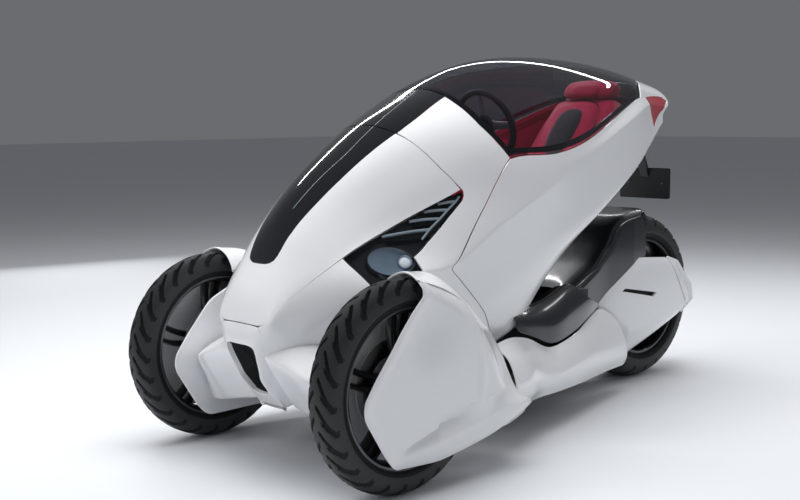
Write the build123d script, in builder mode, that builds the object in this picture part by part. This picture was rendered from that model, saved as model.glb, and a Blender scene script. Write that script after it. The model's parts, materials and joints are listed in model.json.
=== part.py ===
from build123d import *
import math
import os

# Three-wheeled single-seat electric concept vehicle.
# Frame: +Z up, ground at z = 0, the nose points to -Y, the vehicle's left side is +X.
# All sizes are in millimetres.

os.makedirs("parts", exist_ok=True)

# ------------------------------------------------------------------ main sizes
WHEEL_X = 443.0            # front wheel planes at x = +/- this
FRONT_AXLE_Y = -820.0
FRONT_AXLE_Z = 300.0
REAR_AXLE_Y = 862.0
REAR_AXLE_Z = 323.0
SKIN = 4.0                 # thickness of painted body skins
STRIPE_T = 2.0             # depth of the black stripe inlay
GAP = 6.0                  # shut gap around moving panels
SEAM = 1.2                 # shut line between fixed panels
R45 = math.sqrt(0.5)

# ------------------------------------------------------------------ pod sections
# The pod is lofted along an axis that rises 45 degrees to the rear.  Each row is
# one section square to that axis at distance "s"; every point is (x, v), where v
# is measured square to the axis, towards the top front.
# crown = hood centre, stripe = stripe edge, shoulder = lid edge and glass sill,
# crease = widest line, under = lower crease, base = bottom edge,
# bulge = how far the side between stripe edge and shoulder is crowned.
POD_COLUMNS = ("s", "crown", "stripe", "shoulder", "crease", "under", "base", "bulge")
POD_ROWS = [
    (-505, 917, (48, 900), (56, 855), (60, 815), (58, 780), (46, 768), 1),
    (-463, 1005, (75, 992), (96, 925), (112, 850), (116, 772), (79, 748), 3),
    (-400, 1050, (98, 1040), (117, 1012), (165, 911), (188, 752), (156, 690), 3),
    (-230, 1111, (87, 1100), (148, 1030), (269, 955), (285, 734), (238, 536), 4),
    (0, 1159, (96, 1128), (204, 990), (330, 845), (326, 590), (261, 400), 10),
    (295, 1112, (130, 1078), (285, 853), (342, 699), (318, 465), (246, 302), 18),
    (489, 1047, (142, 1018), (320, 796), (334, 640), (300, 372), (233, 281), 30),
    (780, 925, (144, 877), (286, 526), (290, 470), (243, 225), (196, 206), 55),
    (1080, 673, (130, 622), (217, 376), (228, 331), (182, 118), (152, 102), 42),
    (1350, 351, (93, 311), (129, 210), (141, 172), (120, 62), (100, 44), 14),
    (1462, 190, (68, 160), (92, 75), (100, 48), (86, 0), (74, -8), 8),
    (1530, 58, (44, 40), (66, -10), (70, -26), (62, -44), (46, -52), 3),
]



def row_at(s):
    """The section at any distance along the axis, straight between its two neighbours."""
    rows = POD_ROWS
    for a, b in zip(rows, rows[1:]):
        if s <= b[0]:
            break
    k = (s - a[0]) / (b[0] - a[0])

    def mix(p, q):
        if isinstance(p, tuple):
            return (p[0] + (q[0] - p[0]) * k, p[1] + (q[1] - p[1]) * k)
        return p + (q - p) * k
    return (s,) + tuple(mix(p, q) for p, q in zip(a[1:], b[1:]))


def rows_between(s0, s1):
    return [row_at(s0)] + [r for r in POD_ROWS if s0 + 15 < r[0] < s1 - 15] + [row_at(s1)]


def half_points(row, t):
    """Crown, stripe, haunch, shoulder, crease, under and base points, moved inward by t."""
    s, crown, stripe, shoulder, crease, under, base, bulge = row
    mx, mv = (stripe[0] + shoulder[0]) / 2, (stripe[1] + shoulder[1]) / 2
    dx, dv = shoulder[0] - stripe[0], shoulder[1] - stripe[1]
    d = math.hypot(dx, dv)
    haunch = (mx - dv / d * bulge, mv + dx / d * bulge)
    pts = [(0, crown), stripe, haunch, shoulder, crease, under, base]
    if t == 0:
        return pts
    moved = []
    n = len(pts)
    for i, (x, v) in enumerate(pts):
        px, pv = pts[i - 1] if i > 0 else (-pts[1][0], pts[1][1])
        nx, nv = pts[i + 1] if i < n - 1 else (-x, v)
        la, lb = math.hypot(x - px, v - pv), math.hypot(nx - x, nv - v)
        n1 = ((v - pv) / la, -(x - px) / la)
        n2 = ((nv - v) / lb, -(nx - x) / lb)
        k = t / max(0.35, 1 + n1[0] * n2[0] + n1[1] * n2[1])
        moved.append((x + (n1[0] + n2[0]) * k, v + (n1[1] + n2[1]) * k))
    moved[0] = (0.0, moved[0][1])
    return moved


CROWN, STRIPE, HAUNCH, SHOULDER, CREASE, UNDER, BASE = range(7)


def pod_plane(s):
    return Plane(origin=(0, s * R45, s * R45), x_dir=(1, 0, 0), z_dir=(0, R45, R45))


def pod_loft(sections):
    """Straight-sided loft through closed outlines: rows of (s, [(x, v), ...])."""
    with BuildPart() as block:
        for s, points in sections:
            with BuildSketch(pod_plane(s)):
                Polygon(*[(x, -v) for x, v in points], align=None)
        loft(ruled=True)
    return block.part


def side_strip(s0, s1, first, last, t0, t1, trim=0.0):
    """A skin on the left side, from column first to column last, between depths t0 and t1."""
    out = []
    for row in rows_between(s0, s1):
        outer, inner = half_points(row, t0)[first:last + 1], half_points(row, t1)[first:last + 1]
        if trim:
            (ax, av), (bx, bv) = outer[0], outer[1]
            d = math.hypot(bx - ax, bv - av)
            ux, uv = (bx - ax) / d * trim, (bv - av) / d * trim
            outer[0] = (ax + ux, av + uv)
            inner[0] = (inner[0][0] + ux, inner[0][1] + uv)
        out.append((row[0], outer + inner[::-1]))
    return pod_loft(out)


def top_strip(s0, s1, last, t0, t1, trim=0.0):
    """A skin over the top, from the right side's column last to the left side's."""
    out = []
    for row in rows_between(s0, s1):
        outer, inner = half_points(row, t0)[:last + 1], half_points(row, t1)[:last + 1]
        if trim:
            (ax, av), (bx, bv) = outer[-1], outer[-2]
            d = math.hypot(bx - ax, bv - av)
            ux, uv = (bx - ax) / d * trim, (bv - av) / d * trim
            outer[-1] = (ax + ux, av + uv)
            inner[-1] = (inner[-1][0] + ux, inner[-1][1] + uv)
        full_out = [(-x, v) for x, v in outer[:0:-1]] + outer
        full_in = [(-x, v) for x, v in inner[:0:-1]] + inner
        out.append((row[0], full_out + full_in[::-1]))
    return pod_loft(out)


def ring_solid(s0, s1, t):
    out = []
    for row in rows_between(s0, s1):
        pts = half_points(row, t)
        out.append((row[0], pts + [(-x, v) for x, v in pts[:0:-1]]))
    return pod_loft(out)


def left_of(part_, x=0.6):
    """Keep what lies on the left side of the centre plane."""
    return part_ & plan_prism([(x, -1300), (700, -1300), (700, 1300), (x, 1300)], -50, 1400)


def side_prism(points, x0, x1):
    """A prism along X from a side-view outline of (y, z) points."""
    with BuildPart() as block:
        with BuildSketch(Plane.YZ.offset(x0)):
            Polygon(*points, align=None)
        extrude(amount=x1 - x0)
    return block.part


def front_prism(points, y0, y1):
    """A prism along Y from a front-view outline of (x, z) points."""
    with BuildPart() as block:
        with BuildSketch(Plane(origin=(0, y1, 0), x_dir=(1, 0, 0), z_dir=(0, -1, 0))):
            Polygon(*points, align=None)
        extrude(amount=y1 - y0)
    return block.part


def plan_prism(points, z0, z1):
    """A prism along Z from a plan outline of (x, y) points."""
    with BuildPart() as block:
        with BuildSketch(Plane.XY.offset(z0)):
            Polygon(*points, align=None)
        extrude(amount=z1 - z0)
    return block.part


def loft_along_x(rows):
    """Straight-sided loft through side-view outlines: rows of (x, [(y, z), ...])."""
    with BuildPart() as block:
        for x, points in rows:
            with BuildSketch(Plane.YZ.offset(x)):
                Polygon(*points, align=None)
        loft(ruled=True)
    return block.part


def loft_along_y(rows):
    """Straight-sided loft through front-view outlines: rows of (y, [(x, z), ...])."""
    with BuildPart() as block:
        for y, points in rows:
            with BuildSketch(Plane(origin=(0, y, 0), x_dir=(1, 0, 0), z_dir=(0, -1, 0))):
                Polygon(*points, align=None)
        loft(ruled=True)
    return block.part


def bar_x(x0, x1, y, z, r):
    """A round bar along X."""
    with BuildPart() as bar:
        with BuildSketch(Plane.YZ.offset(x0)):
            with Locations((y, z)):
                Circle(r)
        extrude(amount=x1 - x0)
    return bar.part


def box(x0, x1, y0, y1, z0, z1):
    return plan_prism([(x0, y0), (x1, y0), (x1, y1), (x0, y1)], z0, z1)


# ------------------------------------------------------------------ side-view outlines (y, z)
SILL = [(-215, 903), (2, 895), (189, 916), (347, 960), (511, 1028), (706, 1094)]
SHUT = [(-218, 909), (-492, 587), (-407, 505), (-330, 429), (-255, 330)]
LAMP = [(-800, 620), (-785, 562), (-717, 563), (-635, 574), (-613, 627), (-490, 702),
        (-396, 784), (-400, 804), (-467, 780), (-599, 720)]
FAR = 520.0


def inset_loop(points, t):
    """A closed outline moved inward by t, corner by corner."""
    area = sum(a[0] * b[1] - b[0] * a[1] for a, b in zip(points, points[1:] + points[:1]))
    sign = 1 if area > 0 else -1
    moved = []
    n = len(points)
    for i, (x, y) in enumerate(points):
        (px, py), (nx, ny) = points[i - 1], points[(i + 1) % n]
        la, lb = math.hypot(x - px, y - py), math.hypot(nx - x, ny - y)
        n1 = (-(y - py) / la * sign, (x - px) / la * sign)
        n2 = (-(ny - y) / lb * sign, (nx - x) / lb * sign)
        k = t / max(0.35, 1 + n1[0] * n2[0] + n1[1] * n2[1])
        moved.append((x + (n1[0] + n2[0]) * k, y + (n1[1] + n2[1]) * k))
    return moved


def other_side(part_):
    return mirror(part_, about=Plane.YZ)


# ------------------------------------------------------------------ pod panels
LID_S0, LID_S1 = -397.0, 308.0         # front and rear edge of the boot lid along the pod axis
STRIPE_S0 = -222.0                     # lower end of the black stripe
GLASS_S0, GLASS_S1 = 526.0, 1462.0     # glass canopy
TAIL_S = 1356.0                        # joint between the side panels and the tail cap
ARM_R = 24.0                           # front axle arm

behind_shut = side_prism([(y - 1, z) for y, z in SHUT] + [(-200, 150), (1300, 500), (1300, 1400), (-180, 1400)], -FAR, FAR)
before_shut = side_prism([(y, z) for y, z in SHUT] + [(-255, 100), (-1300, 100), (-1300, 1400), (-218, 1400)], -FAR, FAR)
lamp_hole = side_prism(LAMP, 40, FAR)
lamp_fill = side_prism(inset_loop(LAMP, 1.5), 40, FAR)
lamp_core = side_prism(inset_loop(LAMP, 5.5), 40, FAR)
behind_glass = side_prism([(690, 1060), (698, 1096), (903, 1163), (950, 1300), (1300, 1300), (1300, 900), (690, 900)], -FAR, FAR)
glass_room = side_prism([(-200, 1300)] + SILL + [(717, 1093), (912, 1155), (960, 1300)], -FAR, FAR)

with BuildPart() as canopy_glass:
    add(top_strip(GLASS_S0, GLASS_S1, SHOULDER, 0, SKIN))
    add(behind_glass, mode=Mode.SUBTRACT)

with BuildPart() as canopy_frame:
    add(top_strip(GLASS_S0 + 2, GLASS_S0 + 30, SHOULDER, SKIN + 0.3, SKIN + 9, trim=4))

# the lid: a skin with a sunk centre strip that the black stripe lies in
groove = []
for row in rows_between(STRIPE_S0, LID_S1):
    top, low, bottom = half_points(row, 0), half_points(row, STRIPE_T), half_points(row, SKIN)
    path = top[SHOULDER:0:-1] + [low[STRIPE], low[CROWN]]
    path = path + [(-x, v) for x, v in path[-2::-1]]
    under_path = [(-x, v) for x, v in bottom[SHOULDER:0:-1]] + bottom[:SHOULDER + 1]
    groove.append((row[0], path + under_path))
with BuildPart() as boot_lid:
    add(top_strip(LID_S0, STRIPE_S0, SHOULDER, 0, SKIN))
    add(pod_loft(groove))

with BuildPart() as lid_stripe:
    add(top_strip(STRIPE_S0 + 0.3, LID_S1 - 0.3, STRIPE, 0, STRIPE_T - 0.2, trim=0.5))

with BuildPart() as cowl_stripe:
    add(top_strip(LID_S1 + GAP, GLASS_S0 - GAP, STRIPE, 0, SKIN, trim=0.4))

lid_rows = []
for r in rows_between(-495, LID_S1 + GAP):
    w = r[3][0] + (GAP if r[0] > LID_S0 - 30 else SEAM)
    lid_rows.append((r[0], [(-w, r[1] + 90), (w, r[1] + 90), (w, r[3][1] - 14), (-w, r[3][1] - 14)]))
lid_room = pod_loft(lid_rows)
with BuildPart() as cowl_left:
    add(side_strip(-490, GLASS_S0 - GAP, STRIPE, BASE, 0, SKIN))
    add(lid_room, mode=Mode.SUBTRACT)
    add(behind_shut, mode=Mode.SUBTRACT)
    add(lamp_hole, mode=Mode.SUBTRACT)
    add(bar_x(60, 400, FRONT_AXLE_Y, FRONT_AXLE_Z, ARM_R + 6), mode=Mode.SUBTRACT)

INTAKE = [(74, 384), (36, 240), (-36, 240), (-74, 384)]
with BuildPart() as nose_panel:
    add(top_strip(-500, LID_S0 - GAP, SHOULDER, 0, SKIN))
    add(front_prism(INTAKE, -1150, -860), mode=Mode.SUBTRACT)

with BuildPart() as intake_grille:
    add(side_prism([(-1016, 382), (-1010, 382), (-936, 243), (-942, 243)], -100, 100))
    add(front_prism(inset_loop(INTAKE, -6), -1150, -860), mode=Mode.INTERSECT)

with BuildPart() as side_panel_left:
    add(side_strip(55, TAIL_S - 2, SHOULDER, BASE, 0, SKIN, trim=GAP))
    add(before_shut, mode=Mode.SUBTRACT)

with BuildPart() as belly_pan:
    rows = []
    for r in rows_between(-495, TAIL_S - 2):
        (bx, bv), (ix, iv) = half_points(r, 0)[BASE], half_points(r, SKIN)[BASE]
        rows.append((r[0], [(bx - 1, bv), (-bx + 1, bv), (-ix + 1, iv), (ix - 1, iv)]))
    add(pod_loft(rows))

with BuildPart() as tail_cap:
    add(top_strip(1268, TAIL_S, SHOULDER, 0, SKIN))
    add(ring_solid(TAIL_S, 1530, 0))
    add(ring_solid(TAIL_S - 1, 1524, SKIN), mode=Mode.SUBTRACT)
    add(glass_room, mode=Mode.SUBTRACT)
TAIL_LAMP = [(800, 1088), (868, 1008), (960, 1042), (1078, 1062), (1078, 1092), (905, 1096)]
tail_shell = tail_cap.part
with BuildPart() as tail_cap:
    add(tail_shell)
    add(side_prism(TAIL_LAMP, 30, FAR), mode=Mode.SUBTRACT)
    add(side_prism(TAIL_LAMP, -FAR, -30), mode=Mode.SUBTRACT)
with BuildPart() as tail_lamps:
    add(tail_shell)
    add(side_prism(inset_loop(TAIL_LAMP, 0.6), 30.6, FAR), mode=Mode.INTERSECT)
    mirror(about=Plane.YZ)

with BuildPart() as headlamp_lenses:
    add(side_strip(-150, 335, HAUNCH, UNDER, 0, 3))
    add(lamp_fill, mode=Mode.INTERSECT)
    mirror(about=Plane.YZ)

with BuildPart() as headlamp_housings:
    add(side_strip(-150, 335, HAUNCH, UNDER, 3.2, 34))
    add(lamp_fill, mode=Mode.INTERSECT)
    add(side_strip(-160, 345, HAUNCH, UNDER, 3.0, 30) & lamp_core, mode=Mode.SUBTRACT)
    mirror(about=Plane.YZ)

pod_front = ring_solid(-500, 120, -0.8)
with BuildPart() as arm_fairings:
    add(loft_along_x([
        (96, [(-1003, 358), (-898, 192), (-760, 190), (-760, 370)]),
        (250, [(-1000, 312), (-906, 160), (-760, 165), (-760, 350)]),
        (344, [(-935, 288), (-890, 142), (-760, 150), (-760, 330)])]))
    add(pod_front, mode=Mode.SUBTRACT)
    add(bar_x(60, 400, FRONT_AXLE_Y, FRONT_AXLE_Z, ARM_R + 6), mode=Mode.SUBTRACT)
    mirror(about=Plane.YZ)

# ------------------------------------------------------------------ front spats
SPAT_IN, SPAT_OUT = 346.0, 530.0       # inner and outer face
WELL_IN, WELL_OUT = 356.0, 525.0       # faces of the wheel well
FRONT_EDGE = [(-886, 462), (-977, 356), (-1020, 297), (-1021, 257), (-944, 134), (-908, 94)]
SPAT_ROWS = [
    (SPAT_IN, [(-787, 572)] + FRONT_EDGE + [(-692, 96), (-485, 122), (-352, 178), (-362, 260),
                                            (-392, 380), (-446, 484), (-545, 556), (-660, 606), (-790, 622)]),
    (443, [(-787, 585)] + FRONT_EDGE + [(-720, 84), (-485, 112), (-346, 165), (-358, 232),
                                        (-392, 345), (-492, 462), (-590, 548), (-690, 606), (-790, 622)]),
    (SPAT_OUT, [(-787, 560)] + FRONT_EDGE + [(-736, 84), (-485, 126), (-327, 179), (-336, 199),
                                             (-441, 253), (-507, 381), (-613, 510), (-694, 562), (-798, 600)]),
]


def well_outline(points):
    """The same outline moved inward by one wall at the rear, open to the front and below."""
    inner = inset_loop(points, 5.0)
    return [(-1200, 640), (-1200, 560)] + [(-1200, 400), (-1200, 200), (-1200, 100), (-1200, -20), (-600, -20)] + \
        [(-596, inner[7][1] + 12)] + inner[8:15] + [(-800, inner[15][1])]


with BuildPart() as front_spat_left:
    add(loft_along_x(SPAT_ROWS))
    add(loft_along_x([(WELL_IN, well_outline(SPAT_ROWS[0][1])), (443, well_outline(SPAT_ROWS[1][1])),
                      (WELL_OUT, well_outline(SPAT_ROWS[2][1]))]), mode=Mode.SUBTRACT)
    add(bar_x(WELL_IN, WELL_OUT, FRONT_AXLE_Y, FRONT_AXLE_Z, 309), mode=Mode.SUBTRACT)
    add(bar_x(300, WELL_IN + 1, FRONT_AXLE_Y, FRONT_AXLE_Z, ARM_R + 1), mode=Mode.SUBTRACT)

# ------------------------------------------------------------------ front wheels
KING_R = 9.0


def wheel_sketch_plane(y):
    return Plane(origin=(0, y, 0), x_dir=(1, 0, 0), z_dir=(0, -1, 0))


def turned(profile, x, y, z):
    """A ring about the wheel axis from (offset along X, radius) points."""
    with BuildPart() as ring:
        with BuildSketch(wheel_sketch_plane(y)):
            Polygon(*[(x + dx, z + r) for dx, r in profile], align=None)
        revolve(axis=Axis((0, y, z), (1, 0, 0)))
    return ring.part


FRONT_TYRE = [(-50, 258), (-46.5, 274), (-37, 287), (-20, 297), (0, 300), (20, 297), (37, 287), (46.5, 274),
              (50, 258), (47, 243), (43.5, 236.5), (38, 232), (38, 224), (-38, 224), (-38, 232),
              (-43.5, 236.5), (-47, 243)]
FRONT_RIM = [(-42, 214), (-42, 231), (-38.5, 231), (-38.5, 223.5), (38.5, 223.5), (38.5, 231), (42, 231),
             (42, 214), (20, 205), (-20, 205)]
FRONT_HUB = [(-25, 58), (-25, 74), (-12, 80), (12, 80), (25, 74), (25, 58)]


def spoke_pair(x, y, z, angle, r0, r1, w, half):
    """One spoke, a tapered bar from the hub ring to the rim."""
    c, s = math.cos(math.radians(angle)), math.sin(math.radians(angle))
    pts = [(r0, -w), (r1, -w * 0.6), (r1, w * 0.6), (r0, w)]
    return side_prism([(y + r * c - q * s, z + r * s + q * c) for r, q in pts], x - half, x + half)


def front_rim(x):
    with BuildPart() as rim:
        add(turned(FRONT_RIM, x, FRONT_AXLE_Y, FRONT_AXLE_Z))
        add(turned(FRONT_HUB, x, FRONT_AXLE_Y, FRONT_AXLE_Z))
        for k in range(5):
            for d in (-9, 9):
                add(spoke_pair(x, FRONT_AXLE_Y, FRONT_AXLE_Z, 90 + 72 * k + d, 74, 207, 11, 9))
    return rim.part


with BuildPart() as front_tyre_left:
    add(turned(FRONT_TYRE, WHEEL_X, FRONT_AXLE_Y, FRONT_AXLE_Z))

with BuildPart() as front_rim_left:
    add(front_rim(WHEEL_X))

with BuildPart() as front_knuckle_left:
    add(bar_x(WHEEL_X - 30, WHEEL_X + 30, FRONT_AXLE_Y, FRONT_AXLE_Z, 57.7))
    add(box(WHEEL_X - 40, WHEEL_X + 18, FRONT_AXLE_Y - 34, FRONT_AXLE_Y + 34, FRONT_AXLE_Z - 34, FRONT_AXLE_Z + 34), mode=Mode.SUBTRACT)
    with BuildSketch(Plane.XY.offset(FRONT_AXLE_Z - 60)):
        with Locations((WHEEL_X, FRONT_AXLE_Y)):
            Circle(KING_R + 0.05)
    extrude(amount=120, mode=Mode.SUBTRACT)

with BuildPart() as front_arms:
    add(bar_x(98, WHEEL_X + 8, FRONT_AXLE_Y, FRONT_AXLE_Z, ARM_R))
    with BuildSketch(Plane.XY.offset(FRONT_AXLE_Z - 54)):
        with Locations((WHEEL_X, FRONT_AXLE_Y)):
            Circle(KING_R)
    extrude(amount=108)
    mirror(about=Plane.YZ)

with BuildPart() as front_subframe:
    add(box(-96, 96, -900, -430, 262, 345))
    add(box(-72, 72, -876, -454, 250, 350), mode=Mode.SUBTRACT)

# ------------------------------------------------------------------ chassis, battery and lower skirts
with BuildPart() as chassis_frame:
    add(box(-205, 205, -330, 250, 118, 200))
    add(box(-178, 178, -305, 225, 124, 220), mode=Mode.SUBTRACT)
    add(side_prism([(225, 200), (225, 330), (300, 330), (300, 420), (345, 420), (345, 300), (290, 160), (225, 118)], -205, -135))
    add(side_prism([(225, 200), (225, 330), (300, 330), (300, 420), (345, 420), (345, 300), (290, 160), (225, 118)], 135, 205))
    add(bar_x(-300, 300, 322, 375, 15.2), mode=Mode.SUBTRACT)

with BuildPart() as battery_pack:
    add(box(-175, 175, -300, 220, 124.2, 196))

# rows of (y, outline): outer bottom, outer middle, outer top, inner top, inner bottom
SKIRT_ROWS = [
    (-335, [(438, 150), (462, 205), (425, 300), (352, 330), (300, 150)]),
    (-230, [(405, 138), (432, 192), (398, 288), (325, 338), (262, 138)]),
    (-100, [(352, 126), (376, 180), (350, 262), (295, 318), (230, 126)]),
    (40, [(322, 118), (344, 166), (328, 226), (284, 264), (215, 118)]),
    (190, [(288, 113), (308, 160), (290, 238), (252, 276), (210, 113)]),
    (440, [(222, 108), (238, 155), (214, 262), (188, 342), (176, 108)]),
    (600, [(192, 106), (204, 150), (186, 262), (172, 390), (160, 106)]),
]
gap_line = [(455, 420), (455, 342), (612, 224), (612, 172), (590, 90), (900, 90), (900, 420)]
with BuildPart() as side_skirts:
    add(loft_along_y(SKIRT_ROWS))
    add(loft_along_y([(y + (-20 if i == 0 else 20 if i == 6 else 0),
                       [(x - (40 if k > 2 else 0), z) for k, (x, z) in enumerate(inset_loop(p, 5.0))])
                      for i, (y, p) in enumerate(SKIRT_ROWS)]), mode=Mode.SUBTRACT)
    add(side_prism(gap_line, -FAR, FAR), mode=Mode.SUBTRACT)
    mirror(about=Plane.YZ)

COVER_ROWS = [
    (-150, [(300, 345), (286, 380), (262, 392), (240, 350)]),
    (-60, [(292, 315), (272, 368), (236, 398), (215, 330)]),
    (60, [(282, 272), (262, 345), (222, 412), (190, 300)]),
    (200, [(252, 285), (236, 372), (200, 448), (170, 320)]),
    (330, [(222, 322), (212, 398), (180, 462), (150, 350)]),
    (440, [(192, 352), (188, 418), (160, 492), (140, 370)]),
]
pod_middle = ring_solid(-100, 800, -2.5)
cover_gap = [(230, 520), (180, 456), (310, 393), (440, 346), (600, 200), (700, 520)]
with BuildPart() as mid_covers:
    add(loft_along_y(COVER_ROWS))
    add(loft_along_y([(y + (-20 if i == 0 else 20 if i == 5 else 0),
                       [(x - (30 if k == 3 else 0), z - (12 if k in (0, 3) else 0)) for k, (x, z) in enumerate(inset_loop(p, 4.0))])
                      for i, (y, p) in enumerate(COVER_ROWS)]), mode=Mode.SUBTRACT)
    add(side_prism(cover_gap, -FAR, FAR), mode=Mode.SUBTRACT)
    add(pod_middle, mode=Mode.SUBTRACT)
    mirror(about=Plane.YZ)

# ------------------------------------------------------------------ rear end
REAR_TYRE = [(-97, 262), (-94, 280), (-80, 300), (-48, 317), (0, 323), (48, 317), (80, 300), (94, 280), (97, 262),
             (94, 248), (88, 238), (80, 232), (80, 224), (-80, 224), (-80, 232), (-88, 238), (-94, 248)]
REAR_RIM = [(-85, 214), (-85, 231), (-80.5, 231), (-80.5, 223.5), (80.5, 223.5), (80.5, 231), (85, 231),
            (85, 214), (50, 200), (-50, 200)]
REAR_HUB = [(-88, 12.5), (-88, 60), (-60, 95), (60, 95), (88, 60), (88, 12.5)]
AXLE_R = 12.0

with BuildPart() as rear_tyre:
    add(turned(REAR_TYRE, 0, REAR_AXLE_Y, REAR_AXLE_Z))

with BuildPart() as rear_rim:
    add(turned(REAR_RIM, 0, REAR_AXLE_Y, REAR_AXLE_Z))
    for k in range(5):
        for x in (-38, 38):
            add(spoke_pair(x, REAR_AXLE_Y, REAR_AXLE_Z, 90 + 72 * k, 85, 203, 20, 10))
    add(turned(REAR_HUB, 0, REAR_AXLE_Y, REAR_AXLE_Z))

ARM_PLATE = [(290, 335), (290, 410), (330, 425), (862, 362), (898, 345), (898, 301), (862, 284)]
with BuildPart() as swingarm:
    add(side_prism(ARM_PLATE, 104, 117))
    add(side_prism(ARM_PLATE, -117, -104))
    add(bar_x(-205, 205, 322, 375, 15))
    add(bar_x(-117, 117, 322, 375, 30))
    add(bar_x(-130, 130, REAR_AXLE_Y, REAR_AXLE_Z, AXLE_R))

FAIRING = [(470, 342), (718, 497), (925, 480), (985, 456), (1078, 352), (1092, 290), (1016, 238), (862, 184),
           (634, 106), (636, 170), (630, 218)]
with BuildPart() as rear_fairings:
    add(loft_along_x([(118.5, inset_loop(FAIRING, 6)), (150, FAIRING), (168, inset_loop(FAIRING, 12))]))
    add(loft_along_x([(110, inset_loop(FAIRING, 14)), (148, inset_loop(FAIRING, 6)), (163.5, inset_loop(FAIRING, 17))]), mode=Mode.SUBTRACT)
    add(bar_x(110, 140, REAR_AXLE_Y, REAR_AXLE_Z, AXLE_R + 2), mode=Mode.SUBTRACT)
    mirror(about=Plane.YZ)

HUGGER = [(470, 500), (560, 572), (590, 622), (650, 660), (775, 678), (792, 650), (792, 495), (735, 500), (640, 440), (540, 400), (455, 380), (330, 440)]
with BuildPart() as rear_hugger:
    add(loft_along_x([(-150, inset_loop(HUGGER, 30)), (-112, HUGGER), (112, HUGGER), (150, inset_loop(HUGGER, 30))]))
    add(bar_x(-105, 105, REAR_AXLE_Y, REAR_AXLE_Z, 334), mode=Mode.SUBTRACT)
    add(side_prism([(300, 300), (1000, 300), (1000, 440), (735, 508), (640, 448), (540, 440), (300, 460)], -119, 119), mode=Mode.SUBTRACT)
    add(side_prism([(300, 300), (1000, 300), (1000, 440), (735, 501), (455, 340), (300, 380)], -FAR, FAR), mode=Mode.SUBTRACT)

# ------------------------------------------------------------------ number plate board
with BuildPart() as plate_board:
    add(box(-118, 118, 980, 986, 700, 822))
    add(side_prism([(900, 985), (915, 982), (986, 822), (980, 800), (974, 822)], -20, 20))
    with BuildSketch(Plane(origin=(0, 986, 0), x_dir=(-1, 0, 0), z_dir=(0, 1, 0))):
        with Locations((-80, 761), (80, 761)):
            Circle(3.2)
    extrude(amount=-8, mode=Mode.SUBTRACT)
    add(ring_solid(1200, 1510, -3.0), mode=Mode.SUBTRACT)

# ------------------------------------------------------------------ cabin
with BuildPart() as cabin_tub:
    rows = []
    for r in rows_between(230, 1230):
        a, b = half_points(r, 9)[CREASE:], half_points(r, 12)[CREASE:]
        rows.append((r[0], a + [(-x, v) for x, v in a[::-1]] + [(-x, v) for x, v in b] + b[::-1]))
    add(pod_loft(rows))

with BuildPart() as side_trims:
    add(side_strip(515, 1235, SHOULDER, CREASE, 14, 18, trim=4))
    mirror(about=Plane.YZ)

SEAT_BASE = [(70, 545), (300, 690), (285, 745), (60, 640)]
SEAT_BACK = [(310, 700), (395, 745), (650, 1075), (560, 1095), (292, 750)]
HEADREST = [(566, 1100), (652, 1080), (690, 1130), (650, 1172), (590, 1160)]
with BuildPart() as seat_base:
    add(side_prism(SEAT_BASE, -150, 150))
with BuildPart() as seat_back:
    add(side_prism(SEAT_BACK, -145, 145))
with BuildPart() as headrest:
    add(side_prism(HEADREST, -95, 95))

with BuildPart() as dashboard:
    add(side_prism([(-420, 990), (-340, 1035), (-200, 990), (-165, 900), (-390, 870)], -150, 150))

COLUMN = ((-168, 930), (20, 1000))
with BuildPart() as steering_column:
    d = math.hypot(COLUMN[1][0] - COLUMN[0][0], COLUMN[1][1] - COLUMN[0][1])
    dy, dz = (COLUMN[1][0] - COLUMN[0][0]) / d, (COLUMN[1][1] - COLUMN[0][1]) / d
    with BuildSketch(Plane(origin=(0, COLUMN[0][0] + 8, COLUMN[0][1] + 3), x_dir=(1, 0, 0), z_dir=(0, dy, dz))):
        Circle(22)
    extrude(amount=d - 18)

WHEEL_PLANE = Plane(origin=(0, COLUMN[1][0], COLUMN[1][1]), x_dir=(1, 0, 0), z_dir=(0, dy, dz))
with BuildPart() as steering_wheel:
    with BuildSketch(WHEEL_PLANE.offset(-8)):
        Circle(36)
    extrude(amount=30)
    with BuildSketch(WHEEL_PLANE.offset(0)):
        SlotOverall(240, 30)
    extrude(amount=16)
    with BuildSketch(WHEEL_PLANE.offset(-4)):
        Circle(132)
        Circle(108, mode=Mode.SUBTRACT)
    extrude(amount=24)

# ------------------------------------------------------------------ right-hand pieces
with BuildPart() as cowl_right:
    add(other_side(cowl_left.part))
with BuildPart() as side_panel_right:
    add(other_side(side_panel_left.part))
with BuildPart() as front_spat_right:
    add(other_side(front_spat_left.part))
with BuildPart() as front_knuckle_right:
    add(other_side(front_knuckle_left.part))
with BuildPart() as front_tyre_right:
    add(other_side(front_tyre_left.part))
with BuildPart() as front_rim_right:
    add(other_side(front_rim_left.part))

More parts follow.
